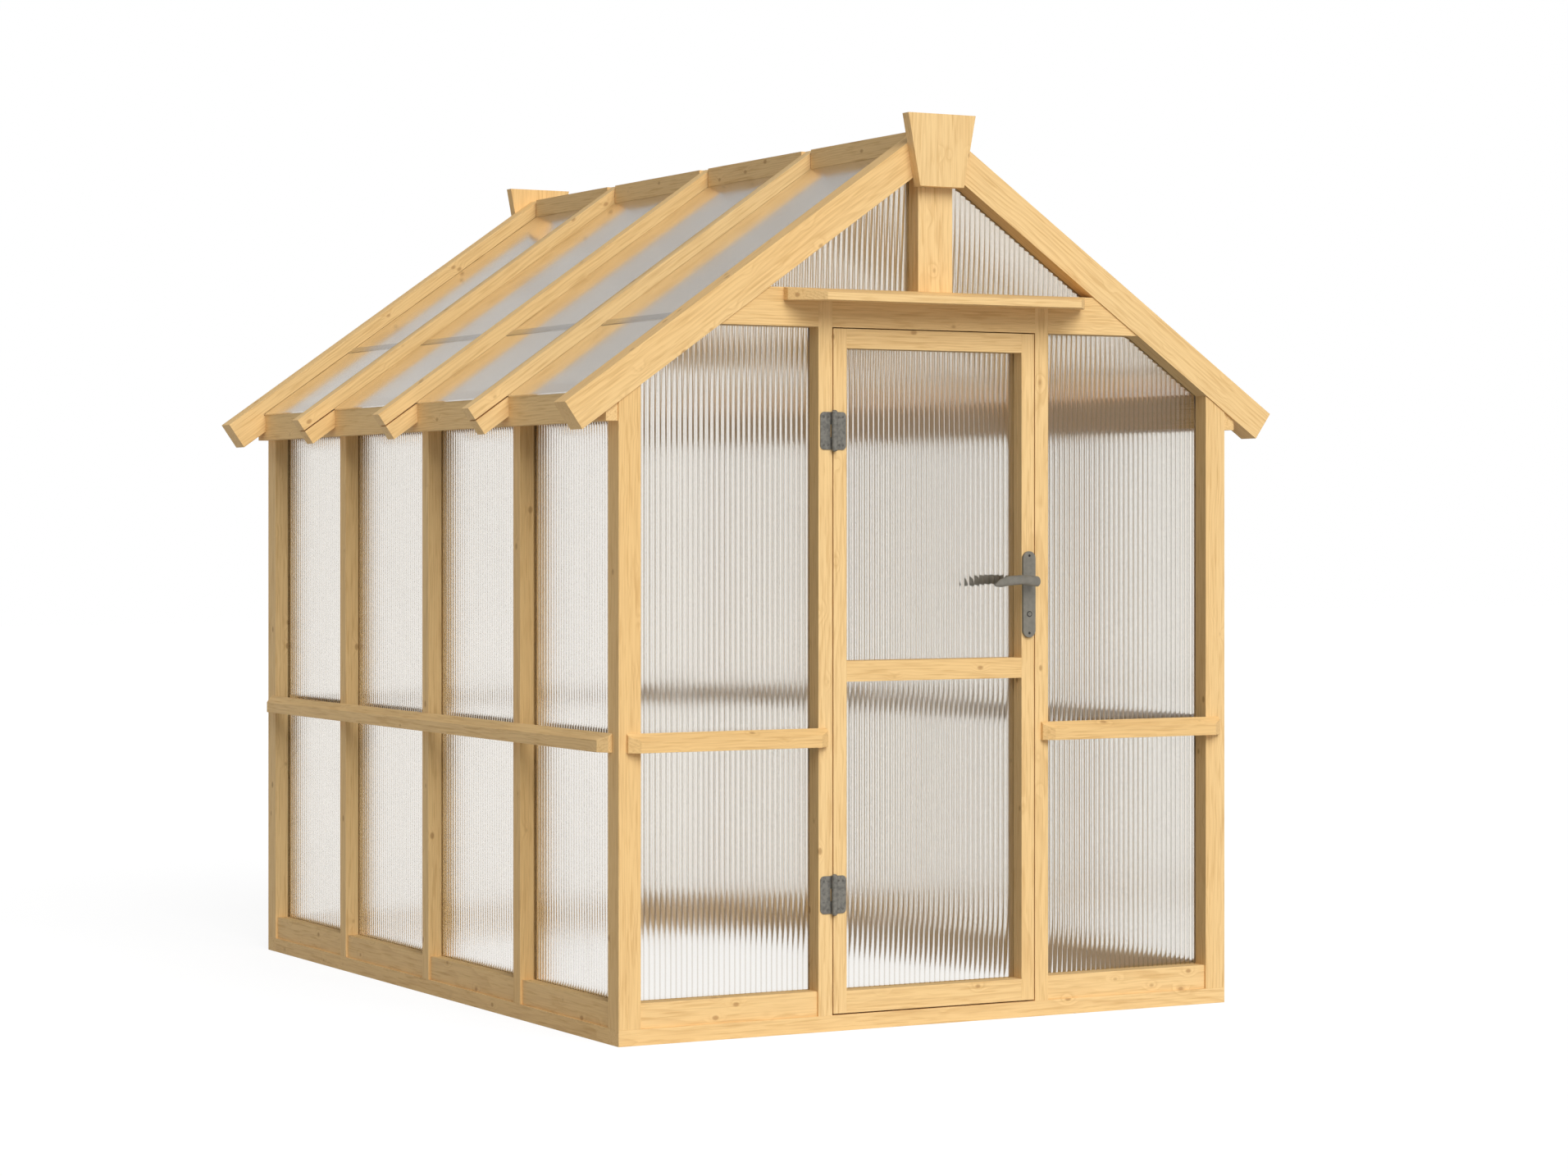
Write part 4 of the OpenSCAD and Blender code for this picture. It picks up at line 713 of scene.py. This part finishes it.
# Seen directly the floor glows and takes shadows, and its paint is what lights the object
FLOOR_GLOW = 0.87
FLOOR_SHADED = (0.20, 0.20, 0.20, 1)
FLOOR_PAINT = (0.60, 0.60, 0.60, 1)
reach = FLOOR_SIDE / 2
floor_mesh = bpy.data.meshes.new("floor")
floor_mesh.from_pydata(
    [(-reach, -reach, 0), (reach, -reach, 0), (reach, reach, 0), (-reach, reach, 0)], [], [(0, 1, 2, 3)])
floor = bpy.data.objects.new("floor", floor_mesh)
scene.collection.objects.link(floor)


def seen_directly(tree):
    """1 for what the camera sees, also by gloss or through a sheet, and 0 for light on dull surfaces."""
    ray = add(tree, "ShaderNodeLightPath")
    straight = maths(tree, "MAXIMUM", ray.outputs["Is Camera Ray"],
                     maths(tree, "MAXIMUM", ray.outputs["Is Glossy Ray"], ray.outputs["Is Transmission Ray"]))
    return maths(tree, "MULTIPLY", straight, maths(tree, "LESS_THAN", ray.outputs["Diffuse Depth"], 0.5))


floor_paint = bpy.data.materials.new("pale_floor")
floor_paint.use_nodes = True
floor_tree = floor_paint.node_tree
floor_tree.nodes.clear()
shaded = add(floor_tree, "ShaderNodeBsdfDiffuse", {"Color": FLOOR_SHADED})
glow = add(floor_tree, "ShaderNodeEmission", {"Color": WHITE, "Strength": FLOOR_GLOW})
white = add(floor_tree, "ShaderNodeAddShader", {0: shaded.outputs[0], 1: glow.outputs[0]})
plain = add(floor_tree, "ShaderNodeBsdfDiffuse", {"Color": FLOOR_PAINT})
mixed = add(floor_tree, "ShaderNodeMixShader", {
    0: seen_directly(floor_tree), 1: plain.outputs[0], 2: white.outputs[0]})
add(floor_tree, "ShaderNodeOutputMaterial", {"Surface": mixed.outputs[0]})
floor_mesh.materials.append(floor_paint)

# Light: one large soft lamp far off in front and above, and a pale room that fills the shadows
# and shows white behind the object. Gloss shows the white walls and, above them, a grey ceiling,
# and neither gloss nor the sheets show the lamp, which would burn out the roof from behind.
KEY_FROM = Vector((-0.03, -0.80, 0.60))
KEY_STRENGTH = 2.55
KEY_SOFTNESS = radians(45)
ROOM_STRENGTH = 0.28
CEILING_TONE = 0.45
CEILING_RISE = (0.18, 0.40)
key = bpy.data.lights.new("key", "SUN")
key.energy = KEY_STRENGTH
key.angle = KEY_SOFTNESS
key_lamp = bpy.data.objects.new("key", key)
key_lamp.rotation_euler = KEY_FROM.to_track_quat("Z", "Y").to_euler()
key_lamp.visible_glossy = False
key_lamp.visible_transmission = False
scene.collection.objects.link(key_lamp)

room = bpy.data.worlds.new("room")
room.use_nodes = True
scene.world = room
room_tree = room.node_tree
way = add(room_tree, "ShaderNodeTexCoord").outputs["Generated"]
height = add(room_tree, "ShaderNodeSeparateXYZ", {0: way}).outputs["Z"]
ceiling = ranged(room_tree, height, *CEILING_RISE, 1.0, CEILING_TONE)
by_gloss = add(room_tree, "ShaderNodeLightPath").outputs["Is Reflection Ray"]
shown = ranged(room_tree, by_gloss, 0.0, 1.0, 1.0, ceiling)
strength = ranged(room_tree, seen_directly(room_tree), 0.0, 1.0, ROOM_STRENGTH, shown)
background = room_tree.nodes["Background"]
background.inputs["Color"].default_value = WHITE
room_tree.links.new(strength, background.inputs["Strength"])

# Camera: level, at the photograph's place and angle. Its lens and its shift come from the
# size of the photograph, its focal length in pixels and the row of its horizon.
IMAGE_WIDTH = 1912
IMAGE_HEIGHT = 1434
FOCAL_PIXELS = 4534.0
HORIZON_ROW = 643.3
CAMERA_PLACE = (-5.242, -9.993, 1.360)
CAMERA_TURN = radians(-28.6)
CAMERA_REACH = 200
camera = bpy.data.objects.new("camera", bpy.data.cameras.new("camera"))
camera.location = CAMERA_PLACE
camera.rotation_euler = (radians(90), 0, CAMERA_TURN)
camera.data.lens = FOCAL_PIXELS / IMAGE_WIDTH * camera.data.sensor_width
camera.data.shift_y = (HORIZON_ROW - IMAGE_HEIGHT / 2) / IMAGE_WIDTH
camera.data.clip_end = CAMERA_REACH
scene.collection.objects.link(camera)
scene.camera = camera
scene.view_settings.view_transform = "Standard"
